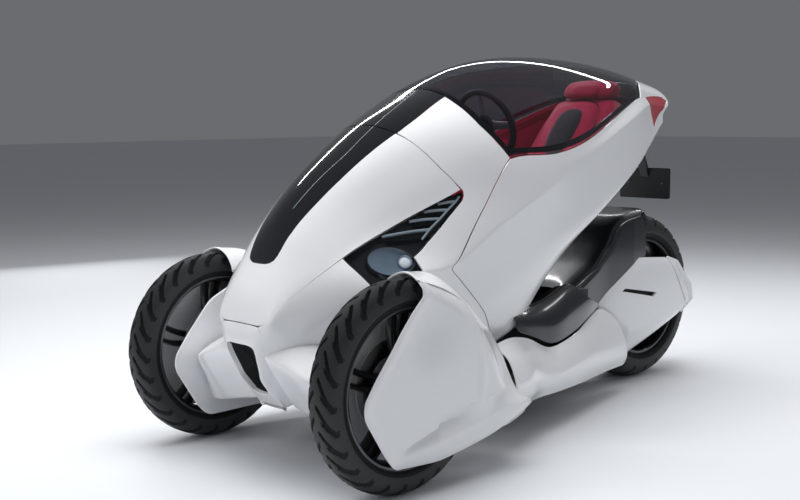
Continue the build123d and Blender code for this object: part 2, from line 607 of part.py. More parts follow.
# ------------------------------------------------------------------ write the pieces
PIECES = {
    "nose_panel": nose_panel, "intake_grille": intake_grille, "boot_lid": boot_lid, "lid_stripe": lid_stripe,
    "cowl_stripe": cowl_stripe, "cowl_left": cowl_left, "cowl_right": cowl_right,
    "side_panel_left": side_panel_left, "side_panel_right": side_panel_right, "belly_pan": belly_pan,
    "tail_cap": tail_cap, "tail_lamps": tail_lamps, "headlamp_lenses": headlamp_lenses,
    "headlamp_housings": headlamp_housings, "canopy_glass": canopy_glass, "canopy_frame": canopy_frame,
    "arm_fairings": arm_fairings, "front_spat_left": front_spat_left, "front_spat_right": front_spat_right,
    "front_arms": front_arms, "front_subframe": front_subframe,
    "front_knuckle_left": front_knuckle_left, "front_knuckle_right": front_knuckle_right,
    "front_tyre_left": front_tyre_left, "front_tyre_right": front_tyre_right,
    "front_rim_left": front_rim_left, "front_rim_right": front_rim_right,
    "chassis_frame": chassis_frame, "battery_pack": battery_pack, "side_skirts": side_skirts,
    "mid_covers": mid_covers, "swingarm": swingarm, "rear_hugger": rear_hugger, "rear_fairings": rear_fairings,
    "rear_tyre": rear_tyre, "rear_rim": rear_rim, "plate_board": plate_board, "cabin_tub": cabin_tub,
    "side_trims": side_trims, "seat_base": seat_base, "seat_back": seat_back, "headrest": headrest,
    "dashboard": dashboard, "steering_column": steering_column, "steering_wheel": steering_wheel,
}
# the vehicle is drawn about the wheelbase and written about the centre of its own length
BOX_SHIFT = Location((0, -(FRONT_AXLE_Y - 300 + REAR_AXLE_Y + REAR_AXLE_Z) / 2, 0))
for node, piece in PIECES.items():
    piece.part.locate(BOX_SHIFT)
    piece.part.label = node
    export_step(piece.part, "parts/" + node + ".step")
    print(node, len(piece.part.solids()), round(piece.part.volume / 1000, 1), piece.part.is_valid)
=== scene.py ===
import json

import bmesh
import bpy
from mathutils import Matrix, Vector
from mathutils.geometry import delaunay_2d_cdt

import math
import numpy as np

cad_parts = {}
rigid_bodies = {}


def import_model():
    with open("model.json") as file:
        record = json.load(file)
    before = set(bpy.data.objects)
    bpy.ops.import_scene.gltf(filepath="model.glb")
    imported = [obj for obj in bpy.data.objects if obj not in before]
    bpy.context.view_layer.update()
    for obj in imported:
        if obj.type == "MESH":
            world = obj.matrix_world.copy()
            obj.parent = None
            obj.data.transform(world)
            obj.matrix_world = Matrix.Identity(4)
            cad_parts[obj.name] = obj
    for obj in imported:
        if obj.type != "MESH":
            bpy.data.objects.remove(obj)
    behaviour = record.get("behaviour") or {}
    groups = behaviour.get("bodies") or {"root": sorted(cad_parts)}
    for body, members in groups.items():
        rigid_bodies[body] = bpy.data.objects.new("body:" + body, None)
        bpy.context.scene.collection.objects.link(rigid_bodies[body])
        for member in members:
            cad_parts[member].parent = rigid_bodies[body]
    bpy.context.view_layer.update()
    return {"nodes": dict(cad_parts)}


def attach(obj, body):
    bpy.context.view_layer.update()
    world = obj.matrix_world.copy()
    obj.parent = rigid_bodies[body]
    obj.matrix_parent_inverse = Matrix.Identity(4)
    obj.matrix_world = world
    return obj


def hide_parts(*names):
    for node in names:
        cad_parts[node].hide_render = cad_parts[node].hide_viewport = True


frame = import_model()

R2 = math.sqrt(0.5)

# ---------------------------------------------------------------- pod surface
# Feature lines of the left half, (x, y, z) in millimetres, from the nose to the tail.
CROWN = [(0, -1039, 386), (0, -1027, 452), (0, -1015, 500), (0, -995, 550), (0, -950, 619), (0, -919, 690),
         (0, -861, 780), (0, -796, 842), (0, -729, 893), (0, -652, 946), (0, -553, 1011), (0, -467, 1054),
         (0, -380, 1092), (0, -330, 1114), (0, -237, 1160), (0, -148, 1196), (0, 0, 1228), (0, 209, 1242),
         (0, 434, 1236), (0, 614, 1219), (0, 805, 1186), (0, 905, 1160), (0, 1009, 1132)]
STRIPE = [(78, -1033, 386), (98, -1020, 455), (97, -985, 545), (84, -930, 640), (80, -900, 700), (90, -840, 760),
          (99, -780, 813), (108, -720, 860), (123, -600, 941), (140, -480, 1010), (143, -420, 1043),
          (142, -345, 1086), (145, -237, 1128), (146, -148, 1155), (143, 0, 1186), (138, 209, 1202),
          (126, 434, 1198), (108, 614, 1187), (85, 805, 1160), (70, 905, 1138), (55, 1009, 1113)]
SHOULDER = [(112, -1000, 386), (128, -1013, 457), (168, -938, 553), (212, -830, 630), (233, -607, 727),
            (285, -394, 812), (320, -218, 909), (312, 2, 903), (285, 187, 924), (250, 344, 966),
            (215, 508, 1034), (170, 703, 1100), (132, 797, 1100), (110, 905, 1098), (88, 1000, 1088)]
CREASE = [(170, -930, 386), (215, -900, 455), (290, -820, 540), (325, -760, 575), (335, -640, 590),
          (335, -492, 590), (344, -287, 702), (325, -72, 779), (310, 50, 824), (265, 325, 925),
          (207, 647, 1040), (152, 797, 1078), (125, 890, 1068), (100, 980, 1058)]
UNDER = [(200, -800, 260), (260, -740, 320), (300, -660, 370), (320, -500, 400), (325, -340, 434),
         (320, -188, 508), (305, -20, 582), (275, 177, 630), (245, 357, 687), (210, 552, 780), (175, 695, 847),
         (125, 870, 955), (105, 945, 1000), (88, 1010, 1030)]
BASE = [(180, -740, 205), (220, -640, 207), (250, -480, 222), (262, -350, 258), (260, -205, 312),
        (250, -80, 350), (245, -13, 415), (240, 60, 485), (230, 153, 551), (210, 290, 629), (190, 429, 714),
        (170, 577, 777), (140, 745, 863), (110, 900, 974), (92, 960, 1022)]
# ends of the same lines, as (s, x, v): s runs along the pod's axis and v square to it
ENDS = {"crown": [(-505, 0, 917), (1462, 0, 190), (1530, 0, 58)],
        "stripe": [(-505, 48, 900), (1462, 68, 160), (1530, 44, 40)],
        "shoulder": [(-505, 56, 855), (1462, 92, 75), (1530, 66, -10)],
        "crease": [(-505, 60, 815), (-463, 112, 850), (1462, 100, 48), (1530, 70, -26)],
        "under": [(-505, 58, 780), (-463, 116, 772), (1462, 86, 0), (1530, 62, -44)],
        "base": [(-505, 46, 768), (-463, 79, 748), (1462, 74, -8), (1530, 46, -52)]}
BULGE = [(-520, 1), (-463, 3), (-400, 3), (-230, 4), (0, 10), (295, 18), (489, 30), (780, 55), (1080, 42),
         (1350, 14), (1462, 8), (1560, 3)]
A0, A1, DS = -760.0, 1540.0, 4.0
NOSE_A, CAP_A, CAP_S = -400.0, -610.0, -505.0      # the row coordinate runs twice as fast over the nose, then over its end face
UC, US, UM, UH, UW, UL, UB, UE = 0.0, 130.0, 230.0, 330.0, 480.0, 740.0, 860.0, 1000.0
DU = 2.5


def pchip(xs, ys, xq):
    """Shape-keeping cubic through the points."""
    xs, ys, xq = np.asarray(xs, float), np.asarray(ys, float), np.asarray(xq, float)
    h = np.diff(xs)
    d = np.diff(ys) / h
    m = np.zeros_like(ys)
    for i in range(1, len(xs) - 1):
        if d[i - 1] * d[i] > 0:
            w1, w2 = 2 * h[i] + h[i - 1], h[i] + 2 * h[i - 1]
            m[i] = (w1 + w2) / (w1 / d[i - 1] + w2 / d[i])
    m[0], m[-1] = d[0], d[-1]
    k = np.clip(np.searchsorted(xs, xq) - 1, 0, len(xs) - 2)
    t = (xq - xs[k]) / h[k]
    t = np.where(xq < xs[0], (xq - xs[0]) / h[0], np.where(xq > xs[-1], 1 + (xq - xs[-1]) / h[-1], t))
    inside = (t >= 0) & (t <= 1)
    tc = np.clip(t, 0, 1)
    t2, t3 = tc * tc, tc * tc * tc
    y = ((2 * t3 - 3 * t2 + 1) * ys[k] + (t3 - 2 * t2 + tc) * h[k] * m[k]
         + (-2 * t3 + 3 * t2) * ys[k + 1] + (t3 - t2) * h[k] * m[k + 1])
    lin = np.where(t < 0, ys[0] + m[0] * (xq - xs[0]), ys[-1] + m[-1] * (xq - xs[-1]))
    return np.where(inside, y, lin)


def soften(a, sigma, axis):
    """Gaussian average along one axis, with the ends held in place."""
    n = max(1, int(3 * sigma))
    k = np.exp(-0.5 * (np.arange(-n, n + 1) / sigma) ** 2)
    k /= k.sum()
    a = np.moveaxis(a, axis, 0)
    lo = 2 * a[:1] - a[n:0:-1]
    hi = 2 * a[-1:] - a[-2:-n - 2:-1]
    p = np.concatenate([lo, a, hi], 0)
    out = np.zeros_like(a)
    for i, w in enumerate(k):
        out += w * p[i:i + len(a)]
    return np.moveaxis(out, 0, axis)


def smoothstep(a, b, x):
    t = np.clip((np.asarray(x, float) - a) / (b - a), 0, 1)
    return t * t * (3 - 2 * t)


def s_of_a(a):
    a = np.asarray(a, float)
    k = np.clip((CAP_A - a) / (CAP_A - A0), 0, 1)
    s = np.where(a >= NOSE_A, a, NOSE_A + (a - NOSE_A) / 2)
    return np.where(a < CAP_A, CAP_S - 10 * np.sin(k * math.pi / 2), s)


def build_pod():
    a = np.arange(A0, A1 + DS / 2, DS)
    pod_rows = a
    cap = np.clip((CAP_A - a) / (CAP_A - A0), 0, 1)
    true_s = s_of_a(a)
    s = np.maximum(true_s, CAP_S)
    cols = {}
    for name, pts in (("crown", CROWN), ("stripe", STRIPE), ("shoulder", SHOULDER), ("crease", CREASE),
                      ("under", UNDER), ("base", BASE)):
        rows = [((y + z) * R2, x, (z - y) * R2) for x, y, z in pts]
        rows = [r for r in rows if -462 < r[0] < 1475] + ENDS[name]
        if name in ("crown", "stripe", "shoulder"):
            rows = rows + [{"crown": (-462.5, 0, 1005), "stripe": (-462.5, 75, 992), "shoulder": (-462.5, 96, 925)}[name]]
        rows = sorted({round(r[0], 1): r for r in rows}.values())
        keep = [rows[0]]
        for r in rows[1:]:
            if r[0] - keep[-1][0] > 12:
                keep.append(r)
        q = [r[0] for r in keep]
        x = pchip(q, [r[1] for r in keep], s)
        v = pchip(q, [r[2] for r in keep], s)
        far = smoothstep(-400, -250, a)
        x = soften(x, 4, 0) * (1 - far) + soften(x, 11, 0) * far
        v = soften(v, 4, 0) * (1 - far) + soften(v, 11, 0) * far
        v = v * (1 - cap) + 768 * cap
        cols[name] = np.stack([x, v], 1)
    cols["crown"][:, 0] = 0
    bulge = pchip([b[0] for b in BULGE], [b[1] for b in BULGE], s)
    c, st, sh, cr, un, ba = (cols[k] for k in ("crown", "stripe", "shoulder", "crease", "under", "base"))
    d = sh - st
    dl = np.hypot(d[:, 0], d[:, 1])[:, None]
    ha = (st + sh) / 2 + np.stack([-d[:, 1], d[:, 0]], 1) / dl * bulge[:, None]

    def hermite(p0, p1, t0, t1, t):
        t = t[None, :, None]
        p0, p1, t0, t1 = (a[:, None, :] for a in (p0, p1, t0, t1))
        return ((2 * t ** 3 - 3 * t ** 2 + 1) * p0 + (t ** 3 - 2 * t ** 2 + t) * t0
                + (-2 * t ** 3 + 3 * t ** 2) * p1 + (t ** 3 - t ** 2) * t1)

    def unit(a):
        return a / np.maximum(np.hypot(a[:, 0], a[:, 1])[:, None], 1e-6)

    def length(a):
        return np.hypot(a[:, 0], a[:, 1])[:, None]

    tc = np.stack([np.ones(len(s)), np.zeros(len(s))], 1)
    l0, l1, l2 = length(st - c), length(ha - st), length(sh - ha)
    ts = unit(unit(st - c) * l1 + unit(ha - st) * l0)
    tm = unit(unit(ha - st) * l2 + unit(sh - ha) * l1)
    th = unit(2 * unit(sh - ha) - tm)
    parts = []
    for a, b, t0, t1, ua, ub in ((c, st, tc, ts, UC, US), (st, ha, ts, tm, US, UM), (ha, sh, tm, th, UM, UH)):
        n = int(round((ub - ua) / DU))
        L = length(b - a)
        parts.append(hermite(a, b, t0 * L, t1 * L, np.arange(n) / n))

    def bowed(a, b, share, n):
        L = b - a
        nrm = np.stack([-L[:, 1], L[:, 0]], 1)
        t = np.arange(n) / n
        return a[:, None] + L[:, None] * t[None, :, None] + nrm[:, None] * (4 * share * t * (1 - t))[None, :, None]

    parts.append(bowed(sh, cr, 0.03, int((UW - UH) / DU)))
    parts.append(bowed(cr, un, -0.012, int((UL - UW) / DU)))
    parts.append(bowed(un, ba, 0.05, int((UB - UL) / DU)))
    mid = np.stack([np.zeros(len(s)), ba[:, 1] - 2], 1)
    parts.append(bowed(ba, mid, 0.0, int((UE - UB) / DU)))
    half = np.concatenate(parts + [mid[:, None]], 1)
    full = np.concatenate([half[:, :0:-1] * np.array([-1, 1]), half], 1)
    u = np.arange(-(half.shape[1] - 1), half.shape[1]) * DU
    soft1 = soften(full, 3.2, 1)
    soft2 = soften(full, 10.0, 1)
    au = np.abs(u)
    k = smoothstep(600, 680, au) * (1 - smoothstep(790, 840, au))
    k = np.maximum(k, 0.9 * smoothstep(270, 320, au) * (1 - smoothstep(345, 400, au)))
    k = np.maximum(k, 1 - smoothstep(150, 230, au))
    k = k[None, :, None]
    table = soft1 * (1 - k) + soft2 * k
    pos = np.empty(table.shape[:2] + (3,))
    pos[..., 0] = table[..., 0]
    pos[..., 1] = (true_s[:, None] - table[..., 1]) * R2
    pos[..., 2] = (true_s[:, None] + table[..., 1]) * R2
    near = (1 - smoothstep(-420, -330, pod_rows))[:, None, None]
    pos = soften(pos, 2.6, 0) * near + pos * (1 - near)
    gs = np.gradient(pos, axis=0)
    gu = np.gradient(pos, axis=1)
    nrm = np.cross(gs, gu)
    nrm /= np.maximum(np.linalg.norm(nrm, axis=2, keepdims=True), 1e-9)
    if nrm[len(s) // 2, len(u) // 2, 2] < 0:
        nrm = -nrm
    return pod_rows, u, pos, nrm


POD_A, POD_U, POD_P, POD_N = build_pod()


def table_read(table, s, u):
    fs = np.clip((np.asarray(s, float) - POD_A[0]) / DS, 0, len(POD_A) - 1.001)
    fu = np.clip((np.asarray(u, float) - POD_U[0]) / DU, 0, len(POD_U) - 1.001)
    i, j = fs.astype(int), fu.astype(int)
    a, b = (fs - i)[..., None], (fu - j)[..., None]
    return (table[i, j] * (1 - a) * (1 - b) + table[i + 1, j] * a * (1 - b)
            + table[i, j + 1] * (1 - a) * b + table[i + 1, j + 1] * a * b)


def pod(s, u, depth=0.0):
    """Points of the pod surface (mm), moved inward by depth, and their outward normals."""
    p, n = table_read(POD_P, s, u), table_read(POD_N, s, u)
    n = n / np.linalg.norm(n, axis=-1, keepdims=True)
    return p - n * np.asarray(depth, float)[..., None] if np.ndim(depth) else p - n * depth, n


def pod_su(x, y, z):
    """The (s, u) of the pod point nearest to (x, y, z) in its own section."""
    s = (y + z) * R2          # the row coordinate, behind the nose
    u = np.arange(POD_U[0], POD_U[-1], 0.5)
    p, _ = pod(np.full(len(u), s), u)
    k = np.argmin(np.linalg.norm(p - np.array([x, y, z]), axis=1))
    return s, float(u[k])

# ---------------------------------------------------------------- helpers
DY = -32.5                      # the drawing's y zero against the row frame, in millimetres


def to_world(p):
    return (np.asarray(p, float) + np.array([0, DY, 0])) / 1000


def add_object(name, verts, faces, mat, body, normals=None, sharp=None, replaces=(), mats=None, face_mats=None):
    me = bpy.data.meshes.new(name)
    me.from_pydata(to_world(verts).tolist(), [], [list(map(int, q)) for q in faces])
    me.update()
    ob = bpy.data.objects.new(name, me)
    bpy.context.scene.collection.objects.link(ob)
    for m in (mats or [mat]):
        me.materials.append(m)
    if face_mats is not None:
        me.polygons.foreach_set("material_index", np.asarray(face_mats, np.int32))
    me.shade_smooth()
    if normals is not None:
        me.normals_split_custom_set_from_vertices(np.asarray(normals, float).tolist())
    elif sharp:
        me.set_sharp_from_angle(angle=math.radians(sharp))
    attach(ob, body)
    if replaces:
        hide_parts(*replaces)
    return ob


def flip_x(verts):
    v = np.array(verts, float)
    v[:, 0] *= -1
    return v


def resample(poly, step, closed=True):
    poly = [np.asarray(p, float) for p in poly]
    n = len(poly)
    out = []
    for i in range(n if closed else n - 1):
        a, b = poly[i], poly[(i + 1) % n]
        k = max(1, int(math.ceil(np.linalg.norm(b - a) / step)))
        for j in range(k):
            out.append(a + (b - a) * j / k)
    if not closed:
        out.append(poly[-1])
    return np.array(out)


def area(poly):
    p = np.asarray(poly, float)
    q = np.roll(p, -1, 0)
    return 0.5 * float(np.sum(p[:, 0] * q[:, 1] - q[:, 0] * p[:, 1]))


def ccw(poly, want=True):
    poly = np.asarray(poly, float)
    return poly if (area(poly) > 0) == want else poly[::-1]


def inset(poly, d):
    """A closed outline moved inward by d, corner by corner."""
    p = np.asarray(poly, float)
    sign = 1 if area(p) > 0 else -1
    out = []
    for i in range(len(p)):
        a, b, c = p[i - 1], p[i], p[(i + 1) % len(p)]
        e1, e2 = b - a, c - b
        n1 = np.array([-e1[1], e1[0]]) / max(np.hypot(*e1), 1e-9) * sign
        n2 = np.array([-e2[1], e2[0]]) / max(np.hypot(*e2), 1e-9) * sign
        out.append(b + (n1 + n2) * d / max(0.35, 1 + n1 @ n2))
    return np.array(out)


def rounded(poly, rho, n=5, radii=None):
    """A closed outline with its corners rounded."""
    p = np.asarray(poly, float)
    out = []
    for i in range(len(p)):
        a, b, c = p[i - 1], p[i], p[(i + 1) % len(p)]
        r = radii.get(i, rho) if radii else rho
        la, lc = np.hypot(*(a - b)), np.hypot(*(c - b))
        k = min(r, 0.48 * la, 0.48 * lc)
        if k < 0.2:
            out.append(b)
            continue
        s, e = b + (a - b) / la * k, b + (c - b) / lc * k
        for j in range(n + 1):
            t = j / n
            out.append((1 - t) ** 2 * s + 2 * t * (1 - t) * b + t * t * e)
    return np.array(out)


def spline(points, n):
    """A smooth open curve through the points (any dimension), n steps a span."""
    p = np.asarray(points, float)
    q = np.concatenate([[2 * p[0] - p[1]], p, [2 * p[-1] - p[-2]]])
    out = []
    for i in range(1, len(q) - 2):
        a, b, c, d = q[i - 1], q[i], q[i + 1], q[i + 2]
        for j in range(n):
            t = j / n
            out.append(0.5 * (2 * b + (c - a) * t + (2 * a - 5 * b + 4 * c - d) * t * t
                              + (3 * b - a - 3 * c + d) * t ** 3))
    out.append(p[-1])
    return np.array(out)


def inside(pts, poly):
    p = np.asarray(poly, float)
    x, y = pts[:, 0][:, None], pts[:, 1][:, None]
    x0, y0 = p[:, 0][None], p[:, 1][None]
    x1, y1 = np.roll(p[:, 0], -1)[None], np.roll(p[:, 1], -1)[None]
    with np.errstate(divide="ignore", invalid="ignore"):
        cross = ((y0 > y) != (y1 > y)) & (x < (x1 - x0) * (y - y0) / (y1 - y0) + x0)
    return cross.sum(1) % 2 == 1


def distance(pts, poly):
    p = np.asarray(poly, float)
    q = np.roll(p, -1, 0)
    best = np.full(len(pts), 1e9)
    for a, b in zip(p, q):
        e = b - a
        t = np.clip(((pts - a) @ e) / max(e @ e, 1e-9), 0, 1)
        best = np.minimum(best, np.linalg.norm(pts - a - t[:, None] * e, axis=1))
    return best


def triangulate(outline, holes, ga, gb, clear, extra=()):
    loops = [ccw(outline)] + [ccw(h, False) for h in holes]
    pts, edges, starts = [], [], []
    for lp in loops:
        s = len(pts)
        starts.append(s)
        pts += [tuple(p) for p in lp]
        edges += [(s + i, s + (i + 1) % len(lp)) for i in range(len(lp))]
    lo, hi = loops[0].min(0), loops[0].max(0)
    ga, gb = np.asarray(ga, float), np.asarray(gb, float)
    ga, gb = ga[(ga > lo[0]) & (ga < hi[0])], gb[(gb > lo[1]) & (gb < hi[1])]
    g = np.stack(np.meshgrid(ga, gb, indexing="ij"), -1).reshape(-1, 2)
    if len(extra):
        ex = np.asarray(extra, float)
        near = np.array([np.min(np.hypot(ex[:, 0] - q[0], ex[:, 1] - q[1])) for q in g]) if len(g) else np.zeros(0)
        g = np.concatenate([g[near > 3.0], ex])
    keep = inside(g, loops[0])
    for h in loops[1:]:
        keep &= ~inside(g, h)
    g = g[keep]
    for lp in loops:
        g = g[distance(g, lp) > clear]
    allp = pts + [tuple(p) for p in g]
    vs, _, fs, orig, _, _ = delaunay_2d_cdt([Vector(p) for p in allp], edges, [], 0, 1e-5)
    index = {}
    for k, o in enumerate(orig):
        for i in o:
            index[i] = k
    vs = np.array([tuple(v) for v in vs])
    fs = np.array([f for f in fs if len(f) == 3])
    mid = vs[fs].mean(1)
    ok = inside(mid, loops[0])
    for h in loops[1:]:
        ok &= ~inside(mid, h)
    fs = fs[ok]
    rings = [[index[starts[k] + i] for i in range(len(lp))] for k, lp in enumerate(loops)]
    return vs, fs, rings


def panel(name, fn, outline, mat, body="chassis", holes=(), replaces=(), step=8.0, edge_step=5.0, t=4.0, r=1.2,
          ga=None, gb=None, back=True, both=None, arc=4, hole_r=None, hole_t=None, extra=()):
    """A skin cut from the surface fn(a, b) -> points, normals, along closed outlines, with rounded edges and a thickness.
    both = (name, body, replaces) also makes the mirrored piece on the right side."""
    out = resample(outline, edge_step)
    hs = [resample(h, edge_step) for h in holes]
    lo, hi = out.min(0), out.max(0)
    ga = np.arange(lo[0] + step / 2, hi[0], step) if ga is None else ga
    gb = np.arange(lo[1] + step / 2, hi[1], step) if gb is None else gb
    vs, fs, rings = triangulate(out, hs, ga, gb, 0.42 * min(step, edge_step * 1.4), extra)
    pos, nrm = fn(vs[:, 0], vs[:, 1])
    a, b, c = pos[fs[:, 0]], pos[fs[:, 1]], pos[fs[:, 2]]
    facing = np.sum(np.cross(b - a, c - a) * nrm[fs[:, 0]], 1)
    hand = 1.0 if np.median(facing) > 0 else -1.0
    if hand < 0:
        fs = fs[:, ::-1]
    V, N, F = [pos], [nrm], [fs.tolist()]
    count = len(pos)
    bottoms = []
    for k, ring in enumerate(rings):
        ring = [q for i, q in enumerate(ring) if q != ring[i - 1]]
        p, n = pos[ring], nrm[ring]
        rr = (r if k == 0 else (hole_r if hole_r is not None else r))
        tt = (t if k == 0 else (hole_t if hole_t is not None else t))
        e1, e2 = p - np.roll(p, 1, 0), np.roll(p, -1, 0) - p
        o1, o2 = np.cross(e1, n) * hand, np.cross(e2, n) * hand
        o1 /= np.maximum(np.linalg.norm(o1, axis=1, keepdims=True), 1e-9)
        o2 /= np.maximum(np.linalg.norm(o2, axis=1, keepdims=True), 1e-9)
        dot = np.sum(o1 * o2, 1, keepdims=True)
        o = (o1 + o2) / np.maximum(0.45, 1 + dot)
        on = o / np.maximum(np.linalg.norm(o, axis=1, keepdims=True), 1e-9)
        last = list(ring)
        m = len(ring)
        for j in range(1, arc + 1):
            g = j / arc * math.pi / 2
            V.append(p + o * rr * math.sin(g) - n * rr * (1 - math.cos(g)))
            N.append(n * math.cos(g) + on * math.sin(g))
            row = list(range(count, count + m))
            count += m
            F.append([[last[(i + 1) % m], last[i], row[i], row[(i + 1) % m]] if hand > 0 else
                      [last[i], last[(i + 1) % m], row[(i + 1) % m], row[i]] for i in range(m)])
            last = row
        V.append(p + o * rr - n * tt)
        N.append(on)
        row = list(range(count, count + m))
        count += m
        F.append([[last[(i + 1) % m], last[i], row[i], row[(i + 1) % m]] if hand > 0 else
                  [last[i], last[(i + 1) % m], row[(i + 1) % m], row[i]] for i in range(m)])
        bottoms.append((ring, p + o * rr - n * tt))
    if back:
        base = count
        deep = pos - nrm * t
        V.append(deep)
        N.append(-nrm)
        count += len(deep)
        F.append((fs[:, ::-1] + base).tolist())
        for ring, low in bottoms:
            m = len(ring)
            V.append(low)
            N.append(-nrm[ring])
            row = list(range(count, count + m))
            count += m
            F.append([[base + ring[(i + 1) % m], row[(i + 1) % m], row[i], base + ring[i]] if hand < 0 else
                      [base + ring[i], row[i], row[(i + 1) % m], base + ring[(i + 1) % m]] for i in range(m)])
    V, N = np.concatenate(V), np.concatenate(N)
    F = [f for part in F for f in part]
    ob = add_object(name, V, F, mat, body, normals=N, replaces=replaces)
    if both:
        N2 = np.array(N)
        N2[:, 0] *= -1
        ob2 = add_object(both[0], flip_x(V), [f[::-1] for f in F], mat, both[1], normals=N2, replaces=both[2])
        return ob, ob2
    return ob


def corner_ring(poly, cuts, per=4, mids=1):
    """A closed outline (n, 3) whose corners are rounded by a share of their edges; the count of points depends only on n."""
    p = np.asarray(poly, float)
    out = []
    n = len(p)
    for i in range(n):
        a, b, c = p[i - 1], p[i], p[(i + 1) % n]
        k = cuts[i % len(cuts)]
        kn = cuts[(i + 1) % n % len(cuts)]
        s, e = b + (a - b) * k, b + (c - b) * k
        for j in range(per + 1):
            t = j / per
            out.append((1 - t) ** 2 * s + 2 * t * (1 - t) * b + t * t * e)
        nxt = c + (b - c) * kn
        for j in range(1, mids + 1):
            out.append(e + (nxt - e) * j / (mids + 1))
    return np.array(out)


def skin(name, rings, mat, body="chassis", replaces=(), closed=True, caps=(True, True), sharp=50, both=None, cap_push=0.0, wrap=False):
    """A surface over rows of points. Each row is closed on itself when closed is true."""
    rings = [np.asarray(r, float) for r in rings]
    rows = list(rings)
    if closed and not wrap:
        for end in (0, 1):
            if not caps[end]:
                continue
            ring = rows[0] if end == 0 else rows[-1]
            nxt = rows[1] if end == 0 else rows[-2]
            c = ring.mean(0)
            out = c - nxt.mean(0)
            out = out / max(np.linalg.norm(out), 1e-9) * cap_push
            extra = [c + (ring - c) * 0.93 + out * 0.6, c + (ring - c) * 0.6 + out, c + (ring - c) * 0.02 + out * 1.1]
            if end == 0:
                rows = extra[::-1] + rows
            else:
                rows = rows + extra
    m = len(rows[0])
    V = np.concatenate(rows)
    F = []
    nr = len(rows)
    for i in range(nr if wrap else nr - 1):
        i2 = (i + 1) % nr
        for j in range(m if closed else m - 1):
            j2 = (j + 1) % m
            F.append([i * m + j, i * m + j2, i2 * m + j2, i2 * m + j])
    # outward orientation from the signed volume of the closed body
    P = V
    vol = 0.0
    for f in F[::max(1, len(F) // 4000)]:
        a, b, c, d = (P[k] for k in f)
        q = (a + b + c + d) / 4 - P.mean(0)
        vol += float(q @ np.cross(c - a, d - b))
    if vol < 0:
        F = [f[::-1] for f in F]
    ob = add_object(name, V, F, mat, body, sharp=sharp, replaces=replaces)
    if both:
        ob2 = add_object(both[0], flip_x(V), [f[::-1] for f in F], mat, both[1], sharp=sharp, replaces=both[2])
        return ob, ob2
    return ob


def loft(name, rows, cuts, mat, along=6, per=4, mids=1, **kw):
    rings = np.array([corner_ring(r, cuts, per, mids) for r in rows])
    n, m, _ = rings.shape
    fine = spline(rings.reshape(n, -1), along).reshape(-1, m, 3)
    return skin(name, list(fine), mat, **kw)


def lathe(name, profile, centre, mat, body, n=96, axis="x", sharp=35, closed_profile=True, replaces=(), both=None, warp=None, a0=0.0, a1=360.0):
    """A body turned about an axis from (offset along the axis, radius) points."""
    prof = np.asarray(profile, float)
    full = abs(a1 - a0) >= 359.9
    rows = []
    for k in range(n if full else n + 1):
        th = math.radians(a0 + (a1 - a0) * k / n)
        c, s = math.cos(th), math.sin(th)
        off, rad = prof[:, 0], prof[:, 1]
        if warp is not None:
            off, rad = warp(th, off, rad)
        if axis == "x":
            row = np.stack([centre[0] + off, centre[1] + rad * c, centre[2] + rad * s], 1)
        elif axis == "y":
            row = np.stack([centre[0] + rad * c, centre[1] + off, centre[2] + rad * s], 1)
        else:
            row = np.stack([centre[0] + rad * c, centre[1] + rad * s, centre[2] + off], 1)
        rows.append(row)
    return skin(name, rows, mat, body=body, closed=closed_profile, caps=(False, False), sharp=sharp, wrap=full, replaces=replaces, both=both)


def tube(name, path, radius, mat, body="chassis", n=12, both=None, caps=True, flat=1.0, sharp=60, replaces=()):
    """A round bar along a path of points."""
    p = np.asarray(path, float)
    rad = np.broadcast_to(np.asarray(radius, float), (len(p),))
    tan = np.gradient(p, axis=0)
    tan /= np.linalg.norm(tan, axis=1, keepdims=True)
    up = np.array([0, 0, 1.0]) if abs(tan[0][2]) < 0.9 else np.array([1.0, 0, 0])
    rows = []
    for q, d, r in zip(p, tan, rad):
        u = np.cross(up, d)
        u /= np.linalg.norm(u)
        w = np.cross(d, u)
        th = np.arange(n) / n * 2 * math.pi
        rows.append(q + np.outer(np.cos(th) * r, u) + np.outer(np.sin(th) * r * flat, w))
        up = w
    return skin(name, rows, mat, body=body, caps=(caps, caps), sharp=sharp, both=both, replaces=replaces, cap_push=float(rad[0]) * 0.3)


